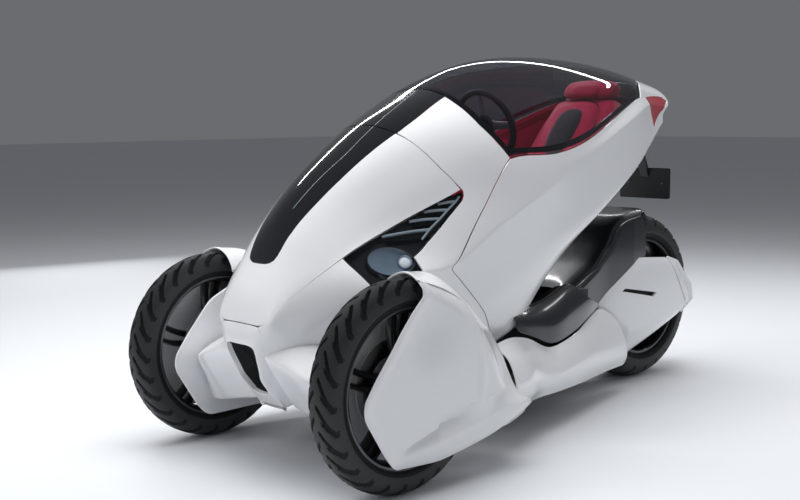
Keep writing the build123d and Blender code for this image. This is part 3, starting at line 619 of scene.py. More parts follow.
# ---------------------------------------------------------------- materials
def material(name, base, rough=0.4, metal=0.0, coat=0.0, coat_rough=0.04, vary=0.03, scale=6.0, rough_vary=0.04,
             bump=0.0, bump_scale=400.0, bump_dist=0.0005, transmission=0.0, ior=1.5, sheen=0.0, emission=None,
             emission_strength=0.0, weave=None, leather=None, specular=0.5, brushed=None, alpha=None):
    m = bpy.data.materials.new(name)
    m.use_nodes = True
    nt = m.node_tree
    for n in list(nt.nodes):
        nt.nodes.remove(n)
    out = nt.nodes.new("ShaderNodeOutputMaterial")
    sh = nt.nodes.new("ShaderNodeBsdfPrincipled")
    nt.links.new(sh.outputs[0], out.inputs[0])
    co = nt.nodes.new("ShaderNodeTexCoord")
    noise = nt.nodes.new("ShaderNodeTexNoise")
    noise.inputs["Scale"].default_value = scale
    noise.inputs["Detail"].default_value = 4
    nt.links.new(co.outputs["Object"], noise.inputs["Vector"])
    mix = nt.nodes.new("ShaderNodeMix")
    mix.data_type = "RGBA"
    mix.inputs["A"].default_value = (*[max(0, c * (1 - vary)) for c in base], 1)
    mix.inputs["B"].default_value = (*[min(1, c * (1 + vary)) for c in base], 1)
    nt.links.new(noise.outputs["Fac"], mix.inputs["Factor"])
    nt.links.new(mix.outputs["Result"], sh.inputs["Base Color"])
    rr = nt.nodes.new("ShaderNodeMapRange")
    rr.inputs["To Min"].default_value = max(0.0, rough - rough_vary)
    rr.inputs["To Max"].default_value = min(1.0, rough + rough_vary)
    n2 = nt.nodes.new("ShaderNodeTexNoise")
    n2.inputs["Scale"].default_value = scale * 4
    n2.inputs["Detail"].default_value = 6
    nt.links.new(co.outputs["Object"], n2.inputs["Vector"])
    nt.links.new(n2.outputs["Fac"], rr.inputs["Value"])
    nt.links.new(rr.outputs[0], sh.inputs["Roughness"])
    sh.inputs["Metallic"].default_value = metal
    sh.inputs["IOR"].default_value = ior
    sh.inputs["Specular IOR Level"].default_value = specular
    sh.inputs["Coat Weight"].default_value = coat
    sh.inputs["Coat Roughness"].default_value = coat_rough
    sh.inputs["Transmission Weight"].default_value = transmission
    sh.inputs["Sheen Weight"].default_value = sheen
    if alpha is not None:
        sh.inputs["Alpha"].default_value = alpha
    if emission is not None:
        sh.inputs["Emission Color"].default_value = (*emission, 1)
        sh.inputs["Emission Strength"].default_value = emission_strength
    last = None
    if bump:
        bn = nt.nodes.new("ShaderNodeTexNoise")
        bn.inputs["Scale"].default_value = bump_scale
        bn.inputs["Detail"].default_value = 3
        nt.links.new(co.outputs["Object"], bn.inputs["Vector"])
        bp = nt.nodes.new("ShaderNodeBump")
        bp.inputs["Strength"].default_value = bump
        bp.inputs["Distance"].default_value = bump_dist
        nt.links.new(bn.outputs["Fac"], bp.inputs["Height"])
        last = bp
    if leather:
        vor = nt.nodes.new("ShaderNodeTexVoronoi")
        vor.feature = "DISTANCE_TO_EDGE"
        vor.inputs["Scale"].default_value = leather
        nt.links.new(co.outputs["Object"], vor.inputs["Vector"])
        ramp = nt.nodes.new("ShaderNodeMapRange")
        ramp.inputs["From Max"].default_value = 0.12
        nt.links.new(vor.outputs["Distance"], ramp.inputs["Value"])
        bp = nt.nodes.new("ShaderNodeBump")
        bp.inputs["Strength"].default_value = 0.35
        bp.inputs["Distance"].default_value = 0.0004
        nt.links.new(ramp.outputs[0], bp.inputs["Height"])
        if last:
            nt.links.new(last.outputs["Normal"], bp.inputs["Normal"])
        last = bp
    if weave:
        w1, w2 = nt.nodes.new("ShaderNodeTexWave"), nt.nodes.new("ShaderNodeTexWave")
        w1.bands_direction, w2.bands_direction = "X", "Z"
        for w in (w1, w2):
            w.inputs["Scale"].default_value = weave
            w.inputs["Distortion"].default_value = 0.4
            nt.links.new(co.outputs["Object"], w.inputs["Vector"])
        mul = nt.nodes.new("ShaderNodeMath")
        mul.operation = "MULTIPLY"
        nt.links.new(w1.outputs["Fac"], mul.inputs[0])
        nt.links.new(w2.outputs["Fac"], mul.inputs[1])
        bp = nt.nodes.new("ShaderNodeBump")
        bp.inputs["Strength"].default_value = 0.5
        bp.inputs["Distance"].default_value = 0.0006
        nt.links.new(mul.outputs[0], bp.inputs["Height"])
        if last:
            nt.links.new(last.outputs["Normal"], bp.inputs["Normal"])
        last = bp
    if brushed:
        st = nt.nodes.new("ShaderNodeTexNoise")
        mp = nt.nodes.new("ShaderNodeMapping")
        mp.inputs["Scale"].default_value = brushed
        nt.links.new(co.outputs["Object"], mp.inputs["Vector"])
        nt.links.new(mp.outputs[0], st.inputs["Vector"])
        st.inputs["Scale"].default_value = 200
        bp = nt.nodes.new("ShaderNodeBump")
        bp.inputs["Strength"].default_value = 0.15
        bp.inputs["Distance"].default_value = 0.0002
        nt.links.new(st.outputs["Fac"], bp.inputs["Height"])
        last = bp
    if last:
        nt.links.new(last.outputs["Normal"], sh.inputs["Normal"])
    return m


PAINT = material("pearl_white_paint", (0.80, 0.81, 0.83), rough=0.32, coat=1.0, coat_rough=0.03, vary=0.012, scale=3, rough_vary=0.03,
                 bump=0.03, bump_scale=900, bump_dist=0.0001)
GLOSS = material("piano_black", (0.006, 0.0065, 0.008), rough=0.10, coat=1.0, coat_rough=0.02, vary=0.2, scale=5, rough_vary=0.02)
PLASTIC = material("moulded_black_plastic", (0.018, 0.018, 0.02), rough=0.5, vary=0.2, scale=20, rough_vary=0.08, bump=0.2, bump_scale=1500, bump_dist=0.0002)
METALLIC = material("dark_metallic_paint", (0.022, 0.023, 0.027), rough=0.30, metal=0.6, coat=0.7, coat_rough=0.10, vary=0.15, scale=40, rough_vary=0.05, bump=0.05, bump_scale=2200, bump_dist=0.0001)
RUBBER = material("tyre_rubber", (0.021, 0.0215, 0.023), rough=0.55, vary=0.25, scale=30, rough_vary=0.1, bump=0.35, bump_scale=1200, bump_dist=0.0003)
# darker rubber for the tread grooves: painted shade in the grooves
GROOVE_SHADE = material("tread_groove_painted_shade", (0.004, 0.004, 0.0045), rough=0.8, vary=0.25, scale=30, rough_vary=0.1)
RIM = material("satin_black_alloy", (0.010, 0.010, 0.011), rough=0.30, metal=0.6, coat=0.3, vary=0.1, scale=30, rough_vary=0.05)
ALLOY = material("turned_alloy", (0.62, 0.63, 0.65), rough=0.24, metal=1.0, vary=0.05, scale=30, rough_vary=0.05, brushed=(1, 20, 20))
SMOKE = material("smoked_alloy", (0.10, 0.10, 0.11), rough=0.26, metal=1.0, vary=0.1, scale=30, rough_vary=0.05)
STEEL = material("brake_steel", (0.42, 0.42, 0.43), rough=0.3, metal=1.0, vary=0.1, scale=60, rough_vary=0.08, brushed=(1, 30, 30))
GLASS = material("tinted_canopy", (0.42, 0.42, 0.46), rough=0.0, vary=0.02, scale=2, rough_vary=0.0, transmission=1.0, ior=1.33)
CLEAR = material("clear_lens", (0.80, 0.83, 0.86), rough=0.0, vary=0.01, scale=2, rough_vary=0.0, transmission=1.0, ior=1.25)
LAMPDARK = material("lamp_smoke", (0.012, 0.013, 0.016), rough=0.12, coat=0.6, vary=0.2, scale=10, rough_vary=0.03)
CHROME = material("lamp_reflector", (0.50, 0.57, 0.66), rough=0.10, metal=1.0, vary=0.04, scale=30, rough_vary=0.03)
BOWL = material("lamp_bowl", (0.26, 0.34, 0.43), rough=0.30, metal=0.55, coat=0.5, vary=0.1, scale=25, rough_vary=0.05)
# pale, faintly glowing light-guide colour; on the lid and cowl beads it is a painted highlight
GUIDES_AND_HIGHLIGHT = material("light_guides_and_painted_highlight", (0.36, 0.42, 0.47), rough=0.16, coat=0.6, vary=0.06, scale=30, rough_vary=0.04, emission=(0.5, 0.58, 0.64), emission_strength=0.02)
BULB = material("projector_glass", (0.86, 0.90, 0.95), rough=0.08, coat=1.0, vary=0.03, scale=20, rough_vary=0.02, emission=(0.9, 0.95, 1.0), emission_strength=0.12)
RED = material("red_lamp", (0.42, 0.004, 0.02), rough=0.12, coat=1.0, vary=0.1, scale=20, rough_vary=0.03)
REDTRIM = material("red_leather", (0.46, 0.010, 0.060), rough=0.48, vary=0.12, scale=12, rough_vary=0.08, leather=420, sheen=0.15)
DARKTRIM = material("dark_leather", (0.035, 0.028, 0.036), rough=0.5, vary=0.15, scale=14, rough_vary=0.08, leather=420)
CLOTH = material("black_seat_cloth", (0.022, 0.020, 0.024), rough=0.85, vary=0.25, scale=60, rough_vary=0.05, weave=420, sheen=0.3)
MESH = material("intake_mesh", (0.014, 0.014, 0.016), rough=0.35, vary=0.2, scale=30, rough_vary=0.05)
LILAC = material("instrument_satin", (0.30, 0.27, 0.34), rough=0.3, metal=0.4, vary=0.06, scale=20, rough_vary=0.05)
THREAD = material("seam_thread", (0.10, 0.02, 0.03), rough=0.7, vary=0.2, scale=80, rough_vary=0.1, bump=0.3, bump_scale=2500)
# near-black for the intake duct and the sheets behind the gaps and the fairing slot: painted shade
SHADOW = material("painted_cavity_shade", (0.008, 0.008, 0.009), rough=0.8, vary=0.3, scale=10, rough_vary=0.1)
SCREEN = material("display_glass", (0.02, 0.024, 0.034), rough=0.08, coat=1.0, vary=0.2, scale=8, rough_vary=0.02)


# ---------------------------------------------------------------- camera, floor and light
SC = bpy.context.scene
fwd = Vector((-0.7175133, 0.68702401, -0.11477227)).normalized()
side = fwd.cross(Vector((0, 0, 1))).normalized()
upv = side.cross(fwd)
roll = math.radians(-0.47)
rx = side * math.cos(roll) + upv * math.sin(roll)
ry = -side * math.sin(roll) + upv * math.cos(roll)
cam_data = bpy.data.cameras.new("photo_camera")
cam_data.lens, cam_data.sensor_width, cam_data.sensor_fit = 53.08, 36.0, "HORIZONTAL"
cam_data.clip_start, cam_data.clip_end = 0.05, 200
cam = bpy.data.objects.new("photo_camera", cam_data)
SC.collection.objects.link(cam)
m4 = Matrix.Identity(4)
for i in range(3):
    m4[i][0], m4[i][1], m4[i][2] = rx[i], ry[i], -fwd[i]
m4[0][3], m4[1][3], m4[2][3] = 2.74605, -3.04694, 1.04505
cam.matrix_world = m4
SC.camera = cam


def studio():
    size, n = 40.0, 8
    bm = bmesh.new()
    bmesh.ops.create_grid(bm, x_segments=n, y_segments=n, size=size)
    me = bpy.data.meshes.new("studio_floor")
    bm.to_mesh(me)
    bm.free()
    ob = bpy.data.objects.new("studio_floor", me)
    SC.collection.objects.link(ob)
    me.materials.append(material("studio_paper", (0.74, 0.76, 0.79), rough=0.55, vary=0.01, scale=0.6, rough_vary=0.04))


studio()


def area_light(name, at, target, size, power, size_y=None, colour=(1, 1, 1)):
    li = bpy.data.lights.new(name, "AREA")
    li.energy = power
    li.color = colour
    li.shape = "RECTANGLE"
    li.size, li.size_y = size, size_y or size
    ob = bpy.data.objects.new(name, li)
    SC.collection.objects.link(ob)
    ob.location = at
    ob.rotation_mode = "QUATERNION"
    ob.rotation_quaternion = (Vector(target) - Vector(at)).to_track_quat("-Z", "Y")
    return ob


soft = [area_light("top_softbox", (-0.3, -0.4, 4.2), (0, 0, 0.5), 3.4, 215, 4.4),
        area_light("camera_fill", (4.8, -2.2, 2.6), (0, 0, 0.5), 3.0, 24, 2.2),
        area_light("rear_rim", (1.6, 4.2, 2.4), (0, 0.2, 0.7), 1.6, 40, 3.0),
        area_light("far_side", (-4.2, 0.8, 2.2), (0, 0, 0.6), 1.6, 34, 4.0),
        area_light("front_strip", (-1.4, -4.2, 2.6), (0, -0.5, 0.6), 1.0, 55, 3.4)]
for ob in soft:
    ob.visible_glossy = False
    ob.visible_transmission = False
# thin tubes of light that draw the long highlights
strips = [area_light("far_tube", (-3.15, 0.9, 3.2), (0, -0.2, 1.0), 0.10, 24, 3.0),
          area_light("rear_tube", (-1.25, 3.35, 3.2), (0, 0.2, 1.1), 0.10, 32, 4.2),
          area_light("side_tube", (2.0, 2.2, 2.5), (0.2, 0.2, 0.4), 0.16, 10, 1.8)]
for ob in soft + strips:
    ob.visible_camera = False


def aim(ob, along):
    """Turns a light so that its long side lies along a direction."""
    z = (ob.rotation_quaternion @ Vector((0, 0, 1))).normalized()
    y = Vector(along)
    y = (y - z * y.dot(z)).normalized()
    x = y.cross(z)
    ob.rotation_quaternion = Matrix((x, y, z)).transposed().to_quaternion()


aim(strips[0], (0.25, 2.7, 0))
aim(strips[1], (3.7, 2.0, 0))
aim(strips[2], (0, 1, 0))
world = bpy.data.worlds.new("studio_world")
world.use_nodes = True
SC.world = world
bg = world.node_tree.nodes["Background"]
bg.inputs[0].default_value = (0.80, 0.83, 0.88, 1)
bg.inputs[1].default_value = 0.18
SC.view_settings.view_transform = "Standard"


# ---------------------------------------------------------------- pod panels
A_GRID = np.concatenate([np.arange(-756, -400, 7.0), np.arange(-400, 1530, 9.0)])
U_HALF = np.concatenate([np.arange(0, 300, 11.0), np.arange(303, 360, 5.5), np.arange(366, 455, 11.0),
                         np.arange(461, 500, 4.0), np.arange(508, 1000, 13.0)])
U_GRID = np.concatenate([-U_HALF[:0:-1], U_HALF])


def pod_at(depth):
    return lambda a, u: pod(a, u, depth)


def both_halves(half):
    """A closed outline from its left half, which starts and ends on the centre line."""
    right = [(a, -u) for a, u in half[::-1] if abs(u) > 1e-6]
    return list(half) + right


LID_EDGE = [(327, 124), (325, 165), (317, 209), (305, 258), (300, 300), (294, 330), (223, 329), (87, 329), (-50, 330),
            (-128, 330), (-200, 330), (-266, 326), (-301, 314), (-335, 288), (-372, 232), (-395, 172), (-409, 128),
            (-414, 92), (-415, 45), (-415, 0)]
STRIPE_EDGE = [(-240, 0), (-239, 40), (-234, 66), (-224, 86), (-208, 98), (-186, 106), (-128, 119), (-60, 124), (0, 126),
               (90, 126), (177, 124), (250, 123), (327, 122)]
CANOPY_FRONT = [(574, 0), (572, 42), (566, 80), (555, 121), (537, 174), (514, 229), (500, 290), (494, 330)]
CUT = 1.3 + 1.2                     # half a shut line, and the rounding of the edge

# the lid lies round the black stripe
left = [(327, 123.5)] + LID_EDGE[1:]
outline = left + [(a, -u) for a, u in left[::-1][1:]] + [(a, -u) for a, u in STRIPE_EDGE[::-1]] + STRIPE_EDGE[1:-1]
panel("lid_skin", pod_at(0), inset(outline, CUT - 0.7), PAINT, body="boot_lid", replaces=("boot_lid",), ga=A_GRID, gb=U_GRID, t=4)

stripe_half = STRIPE_EDGE
panel("lid_stripe_gloss", pod_at(0.2), inset(both_halves(stripe_half), 1.5), GLOSS, body="boot_lid", replaces=("lid_stripe",),
      ga=A_GRID, gb=U_GRID, t=4, r=1.0)

cowl_top = [(330, -123), (330, 123), (442, 122), (553, 120), (566, 80), (572, 42), (574, 0), (572, -42), (566, -80), (553, -120), (442, -122)]
panel("cowl_stripe_gloss", pod_at(0.2), inset(cowl_top, 1.5), GLOSS, replaces=("cowl_stripe",), ga=A_GRID, gb=U_GRID, t=4, r=1.0)

# a fine bead along the middle of the dark band; its pale, faintly glowing colour is a painted highlight line on the
# stripe
for nm, pts, body in (("lid_bead", [(-60, 56), (-26, 59), (68, 62), (179, 65), (260, 57), (326, 50)], "boot_lid"), ("cowl_bead", [(333, 49), (388, 41), (441, 34), (500, 24), (562, 14)], "chassis")):
    fine = spline(pts, 10)
    tube(nm, pod(fine[:, 0], fine[:, 1], 0.1)[0], 1.0, GUIDES_AND_HIGHLIGHT, body=body, n=8)

SEAM_LINE = [(-418, 112), (-460, 160), (-502, 185), (-560, 190), (-619, 195), (-700, 200), (-746, 205)]
LAMP_LOW = [(-128, 331), (-136, 360), (-161, 476), (-140, 494), (-109, 503), (-42.5, 504), (-22, 490), (8.5, 426), (80, 404), (149.5, 389),
            (215, 372), (269, 357), (284, 348), (296, 334)]
SHUT_LINE = [(494, 332), (440, 352), (383, 374), (305, 408), (232, 436), (175, 456), (120, 474), (76, 490), (66, 500), (65, 513),
             (69, 570), (71, 631), (72, 690), (70, 743), (60, 790), (51, 825), (54, 858)]
cowl = [(330, 124.5), (442, 123.5)] + [(a, u) for a, u in CANOPY_FRONT[3:]] + SHUT_LINE + [(-300, 858), (-500, 858), (-700, 858), (-746, 858)] \
    + SEAM_LINE[::-1] + [(-409, 130)] + [(a, u) for a, u in LID_EDGE[::-1] if a < -130 and u > 150] + LAMP_LOW + LID_EDGE[4:0:-1]
panel("cowl_skin_left", pod_at(0), inset(cowl, CUT), PAINT, ga=A_GRID, gb=U_GRID, replaces=("cowl_left",), t=4,
      both=("cowl_skin_right", "chassis", ("cowl_right",)))

nose_half = [(-419, 0), (-419, 97), (-420, 112)] + SEAM_LINE[1:] + [(-746, 0)]
INTAKE_HALF = [(-512, 0), (-512, 60), (-514, 98), (-521, 118), (-540, 132), (-590, 146), (-650, 134), (-685, 96), (-697, 54), (-700, 0)]
panel("nose_skin", pod_at(0), inset(both_halves(nose_half), CUT - 0.6), PAINT, holes=[both_halves(INTAKE_HALF)], replaces=("nose_panel",),
      ga=A_GRID, gb=U_GRID, t=4, hole_r=3.0, hole_t=16, step=6)

LAMP_TAIL = [(1318, 336), (1302, 520), (1297, 675), (1352, 618), (1408, 552), (1470, 330), (1448, 288)]
side_outline = [(494, 334), (600, 334), (900, 334), (1275, 333), (1316, 336), (1302, 520), (1295, 680), (1353, 622), (1354, 858), (900, 858), (500, 858)] \
    + SHUT_LINE[::-1]
panel("side_skin_left", pod_at(0), inset(side_outline, CUT), PAINT, ga=A_GRID, gb=U_GRID, replaces=("side_panel_left",), t=4,
      both=("side_skin_right", "chassis", ("side_panel_right",)))

# the chin turns the nose under, and the belly closes the pod below
panel("chin_left", pod_at(0), [(-745, 859.5), (-481, 859.5), (-481, 1000), (-745, 1000)], PAINT, step=12, edge_step=8,
      ga=np.arange(-740, -484, 12.0), gb=np.arange(872, 1000, 18.0), t=3, r=0.5, both=("chin_right", "chassis", ()))
belly = panel("belly_skin_left", pod_at(0), [(-478, 861), (1352, 861), (1352, 1000), (-478, 1000)], PLASTIC, step=16, edge_step=12,
              ga=np.arange(-470, 1352, 16.0), gb=np.arange(870, 1000, 22.0), t=3, r=0.5, replaces=("belly_pan",),
              both=("belly_skin_right", "chassis", ()))

TAIL_END = [(1482, 0), (1482, 287), (1479, 331), (1460, 420), (1424, 555), (1394, 640), (1378, 740), (1372, 860), (1370, 1000)]
end_u = np.arange(-1000, 1000, 12.5)
end_a = pchip([u for a, u in TAIL_END], [a for a, u in TAIL_END], np.abs(end_u))
tail_left = [(1275, 334), (1316, 337), (1448, 287), (1472, 331), (1409, 555), (1357, 621), (1357, 1000)]
tail_outline = [(1468, 0)] + tail_left + [(a + 0.5, u) for a, u in zip(end_a[::-1], end_u[::-1])] + [(a, -u) for a, u in tail_left[::-1]]
panel("tail_skin", pod_at(0), tail_outline, PAINT, ga=np.arange(1270, 1486, 7.0), gb=U_GRID, replaces=("tail_cap",), t=4, r=1.0)
ring = pod(end_a, end_u, 0.0)[0]
cen = ring.mean(0)
back_dir = np.array([0, 0.93, -0.36])
skin("tail_tip", [cen + (ring - cen) * k + back_dir * d for k, d in ((1.0, -0.5), (0.985, 3), (0.95, 4), (0.93, 0), (0.6, -1), (0.2, -1.5), (0.02, -1.5))],
     PLASTIC, caps=(False, True), sharp=50)
lens_tail = inset(LAMP_TAIL, 4)
panel("tail_lamp_left", pod_at(0.6), lens_tail, RED, ga=np.arange(1280, 1500, 6.0), gb=U_GRID, replaces=("tail_lamps",), t=8, r=2.0,
      both=("tail_lamp_right", "chassis", ()))

glass_half = CANOPY_FRONT[:-1] + [(495, 328), (1264, 328), (1330, 210), (1400, 100), (1440, 40), (1461, 0)]
G_U = np.concatenate([-np.arange(0, 331, 11.0)[:0:-1], np.arange(0, 331, 11.0)])
panel("canopy_bubble", pod_at(0), inset(both_halves(glass_half), 3.0), GLASS, body="canopy", replaces=("canopy_glass",), ga=np.arange(490, 1470, 11.0),
      gb=G_U, t=3.0, r=1.2)
# the black print round the glass edge, on its inside
ring_in = inset(both_halves(glass_half), 20)
panel("canopy_edge_band", pod_at(3.6), inset(both_halves(glass_half), 4.5), GLOSS, body="canopy", ga=np.arange(490, 1470, 14.0), gb=G_U,
      holes=[ring_in], t=2.0, r=0.4, replaces=("canopy_frame",))
# a dark sill strip between the glass and the side panels
sill = [(496, 331.5), (1270, 331.5)]
for name, sgn in (("sill_seal_left", 1), ("sill_seal_right", -1)):
    aa = np.arange(500, 1262, 10.0)
    path = pod(aa, np.full(len(aa), 331.0 * sgn), 2.5)[0]
    tube(name, path, 2.0, PLASTIC, n=8)

# ---------------------------------------------------------------- nose intake
grid_pts, grid_faces = [], []
o = np.array([0, -1011.0, 366.0])
dn = np.array([0, -941.0, 236.0]) - o
L = np.linalg.norm(dn)
dn /= L
acr = np.array([1.0, 0, 0])
out_n = np.cross(acr, dn)
out_n *= -1 if out_n[1] > 0 else 1
HEX = 6.2
bm = bmesh.new()
cells = []
for i in range(-12, 13):
    for j in range(-3, 22):
        cx, cy = i * HEX * 1.5, (j + (0.5 if i % 2 else 0)) * HEX * math.sqrt(3)
        if abs(cx) > 84 - max(0, cy) * 0.28 or cy > L + 6:
            continue
        cells.append((cx, cy))
keyed = {}
for cx, cy in cells:
    ids = []
    for k in range(6):
        th = math.radians(60 * k)
        q = (round(cx + HEX * math.cos(th), 2), round(cy + HEX * math.sin(th), 2))
        if q not in keyed:
            w = to_world(o + acr * q[0] + dn * q[1] + np.array([0, 22.0, 0]))
            keyed[q] = bm.verts.new(tuple(w))
        ids.append(keyed[q])
    try:
        bm.faces.new(ids)
    except ValueError:
        pass
bmesh.ops.wireframe(bm, faces=bm.faces[:], thickness=0.0016, use_replace=True, use_boundary=True, use_even_offset=True)
me = bpy.data.meshes.new("intake_honeycomb")
bm.to_mesh(me)
bm.free()
grille = bpy.data.objects.new("intake_honeycomb", me)
SC.collection.objects.link(grille)
me.materials.append(MESH)
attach(grille, "chassis")
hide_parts("intake_grille")
# a near-black duct behind the intake hole: painted shade inside the intake
duct = resample(both_halves(INTAKE_HALF), 8)
dp = lambda d: pod(duct[:, 0], duct[:, 1], d)[0]
r0, r1, r2 = dp(3.5), dp(24), dp(50)
r1 = r1 * 0.9 + r1.mean(0) * 0.1
r2 = r2 * 0.75 + r2.mean(0) * 0.25
skin("intake_duct_shade", [r0, r1, r2], SHADOW, caps=(False, True), sharp=60)

# ---------------------------------------------------------------- headlamps
LAMP = [(-128, 331)] + LAMP_LOW[1:-1] + [(296, 334), (223, 330.5), (87, 330.5), (-50, 331)]
lamp_in = inset(LAMP, 3.0)
panel("lamp_lens_left", pod_at(0.4), lamp_in, CLEAR, ga=A_GRID, gb=U_GRID, t=2.2, r=0.9, replaces=("headlamp_lenses",),
      both=("lamp_lens_right", "chassis", ()))
panel("lamp_back_left", pod_at(27), inset(LAMP, 2.0), LAMPDARK, ga=A_GRID, gb=U_GRID, t=2.5, r=0.3, replaces=("headlamp_housings",),
      both=("lamp_back_right", "chassis", ()))
rim_poly = resample(inset(LAMP, 2.2), 8)
wall = [pod(rim_poly[:, 0], rim_poly[:, 1], d)[0] for d in (3.2, 12, 27)]
skin("lamp_wall_left", wall, LAMPDARK, caps=(False, False), sharp=40, both=("lamp_wall_right", "chassis", ()))


def surf(a, u, d=0.0):
    p, n = pod(np.array([float(a)]), np.array([float(u)]), d)
    return p[0], n[0]


# the eye: a ribbed bowl drawn out to the front, with the projector at its rear end
pl, n0 = surf(-96, 391)
pr, _ = surf(4, 432)
pt, _ = surf(-22, 383)
pb, _ = surf(-112, 474)
eye_c = (pl + pr) / 2
lens_c, nl = surf(-14, 428)
ax = (pr - pl) / 2
bx = pt - pb
bx = (bx - ax * (bx @ ax) / (ax @ ax)) / 2
nn = np.cross(ax, bx)
nn /= np.linalg.norm(nn)
nn = nn if nn @ n0 > 0 else -nn
rows = []
TH = np.arange(144) / 144 * 2 * math.pi
for k in range(15):
    t = k / 14
    c = eye_c * (1 - t ** 0.9) + (lens_c - ax / np.linalg.norm(ax) * 1.0) * t ** 0.9
    A = ax * (1 - t) + ax / np.linalg.norm(ax) * 15.0 * t
    B = bx * (1 - t) + bx / np.linalg.norm(bx) * 15.0 * t
    sink = 8 + 13 * math.sin(min(1, t * 1.15) * math.pi / 2)
    rib = 1 + 0.018 * np.cos(36 * TH) * math.sin(math.pi * min(1, t * 1.1))
    rows.append(c + np.outer(np.cos(TH) * rib, A) + np.outer(np.sin(TH) * rib, B) - nn * sink)
skin("lamp_bowl_left", rows, BOWL, caps=(False, False), sharp=60, both=("lamp_bowl_right", "chassis", ()))
lip = [eye_c + np.outer(np.cos(TH) * f, ax) + np.outer(np.sin(TH) * f, bx) - nn * d for f, d in ((0.985, 9), (1.0, 6.5), (1.03, 6.5), (1.045, 9), (1.04, 20))]
skin("lamp_bowl_rim_left", lip, ALLOY, caps=(False, False), sharp=60, both=("lamp_bowl_rim_right", "chassis", ()))
au, bu = ax / np.linalg.norm(ax), bx / np.linalg.norm(bx)
look = np.array([0.30, -0.93, 0.10])
look /= np.linalg.norm(look)
na = nn + 0.55 * look
na /= np.linalg.norm(na)
pu = au - na * (au @ na)
pu /= np.linalg.norm(pu)
pw = np.cross(na, pu)
ring = []
lc = lens_c - nn * 21
for rad, d in ((23.5, 0), (23.5, 9), (22.5, 11), (20.5, 11), (19.5, 9), (19.5, 2)):
    ring.append(lc + np.outer(np.cos(TH) * rad, pu) + np.outer(np.sin(TH) * rad, pw) + na * d)
skin("projector_ring_left", ring, CHROME, caps=(False, False), sharp=40, both=("projector_ring_right", "chassis", ()))
dome = [lc + np.outer(np.cos(TH) * 19.4 * math.cos(g), pu) + np.outer(np.sin(TH) * 19.4 * math.cos(g), pw) + na * (2 + 8.5 * math.sin(g))
        for g in np.radians([0, 12, 25, 40, 55, 70, 82])]
skin("projector_lens_left", dome, BULB, caps=(False, True), sharp=80, both=("projector_lens_right", "chassis", ()))

for k, (pts, d0) in enumerate((([(9.5, 337), (45.5, 349), (86, 362.5), (126, 379)], 9), ([(107, 338), (144, 352), (176, 368)], 9),
                               ([(163, 334), (190, 345), (216, 358)], 9), ([(212, 333), (233, 340), (254, 349)], 9))):
    fine = spline(pts, 8)
    path, nrm = pod(fine[:, 0], fine[:, 1], d0)
    wid = 4.2
    tangent = np.gradient(path, axis=0)
    tangent /= np.linalg.norm(tangent, axis=1, keepdims=True)
    cr = np.cross(nrm, tangent)
    prof = [(-1, -0.7), (-1, 0.35), (-0.75, 0.75), (0, 0.95), (0.75, 0.75), (1, 0.35), (1, -0.7)]
    rows = [np.array([p + c * wid * x + n * 3.2 * z for x, z in prof]) for p, c, n in zip(path, cr, nrm)]
    skin("light_guide_%d_left" % (k + 1), rows, GUIDES_AND_HIGHLIGHT, caps=(True, True), sharp=50, both=("light_guide_%d_right" % (k + 1), "chassis", ()), cap_push=0.8)
fine = spline([(84, 391), (127, 379.5), (174, 370.5), (218, 359.5), (256, 351), (276, 344)], 8)
path, nrm = pod(fine[:, 0], fine[:, 1], 8.5)
tangent = np.gradient(path, axis=0)
tangent /= np.linalg.norm(tangent, axis=1, keepdims=True)
cr = np.cross(nrm, tangent)
rows = [np.array([p + c * 3.4 * x + n * 3.4 * z for x, z in prof]) for p, c, n in zip(path, cr, nrm)]
skin("light_guide_spine_left", rows, GUIDES_AND_HIGHLIGHT, caps=(True, True), sharp=50, both=("light_guide_spine_right", "chassis", ()), cap_push=0.8)
# stepped shelves behind the bars
for k, (a0, u0, a1, u1) in enumerate(((20, 350, 118, 392), (118, 348, 168, 372), (172, 342, 208, 361), (218, 338, 250, 351))):
    steps = 10
    fine = np.stack([np.linspace(a0, a1, steps), np.linspace(u0, u1, steps)], 1)
    p1, n1 = pod(fine[:, 0] - 10, fine[:, 1] + 6, 12)
    p2, _ = pod(fine[:, 0] + 2, fine[:, 1] - 1, 26)
    rows = [np.array([a, a * 0.5 + b * 0.5 + n * 2, b, b - n * 2, a - n * 2.5]) for a, b, n in zip(p1, p2, n1)]
    skin("lamp_shelf_%d_left" % (k + 1), rows, LAMPDARK, caps=(True, True), sharp=40, both=("lamp_shelf_%d_right" % (k + 1), "chassis", ()))


# ---------------------------------------------------------------- front spats
FRONT_EDGE = [(-886, 462), (-977, 356), (-1020, 297), (-1021, 257), (-944, 134), (-908, 94)]
SP_IN = [(-787, 572)] + FRONT_EDGE + [(-692, 96), (-485, 122), (-352, 178), (-362, 260), (-392, 380), (-446, 484),
                                      (-545, 556), (-660, 606), (-790, 622)]
SP_MID = [(-787, 585)] + FRONT_EDGE + [(-720, 84), (-485, 112), (-346, 165), (-358, 232), (-392, 345), (-492, 462),
                                       (-590, 548), (-690, 606), (-790, 622)]
SP_OUT = [(-787, 560)] + FRONT_EDGE + [(-736, 84), (-485, 126), (-350, 172), (-360, 203), (-441, 253), (-507, 381),
                                       (-613, 510), (-694, 562), (-798, 600)]


def height_field(f, x_sign=1.0):
    """A skin over the side view: points (f(y, z), y, z) and their normals."""
    def fn(y, z):
        e = 0.5
        x = f(y, z)
        fy = (f(y + e, z) - f(y - e, z)) / (2 * e)
        fz = (f(y, z + e) - f(y, z - e)) / (2 * e)
        n = np.stack([np.ones_like(x), -fy, -fz], 1) * x_sign
        n /= np.linalg.norm(n, axis=1, keepdims=True)
        return np.stack([x, y, z], 1), n
    return fn


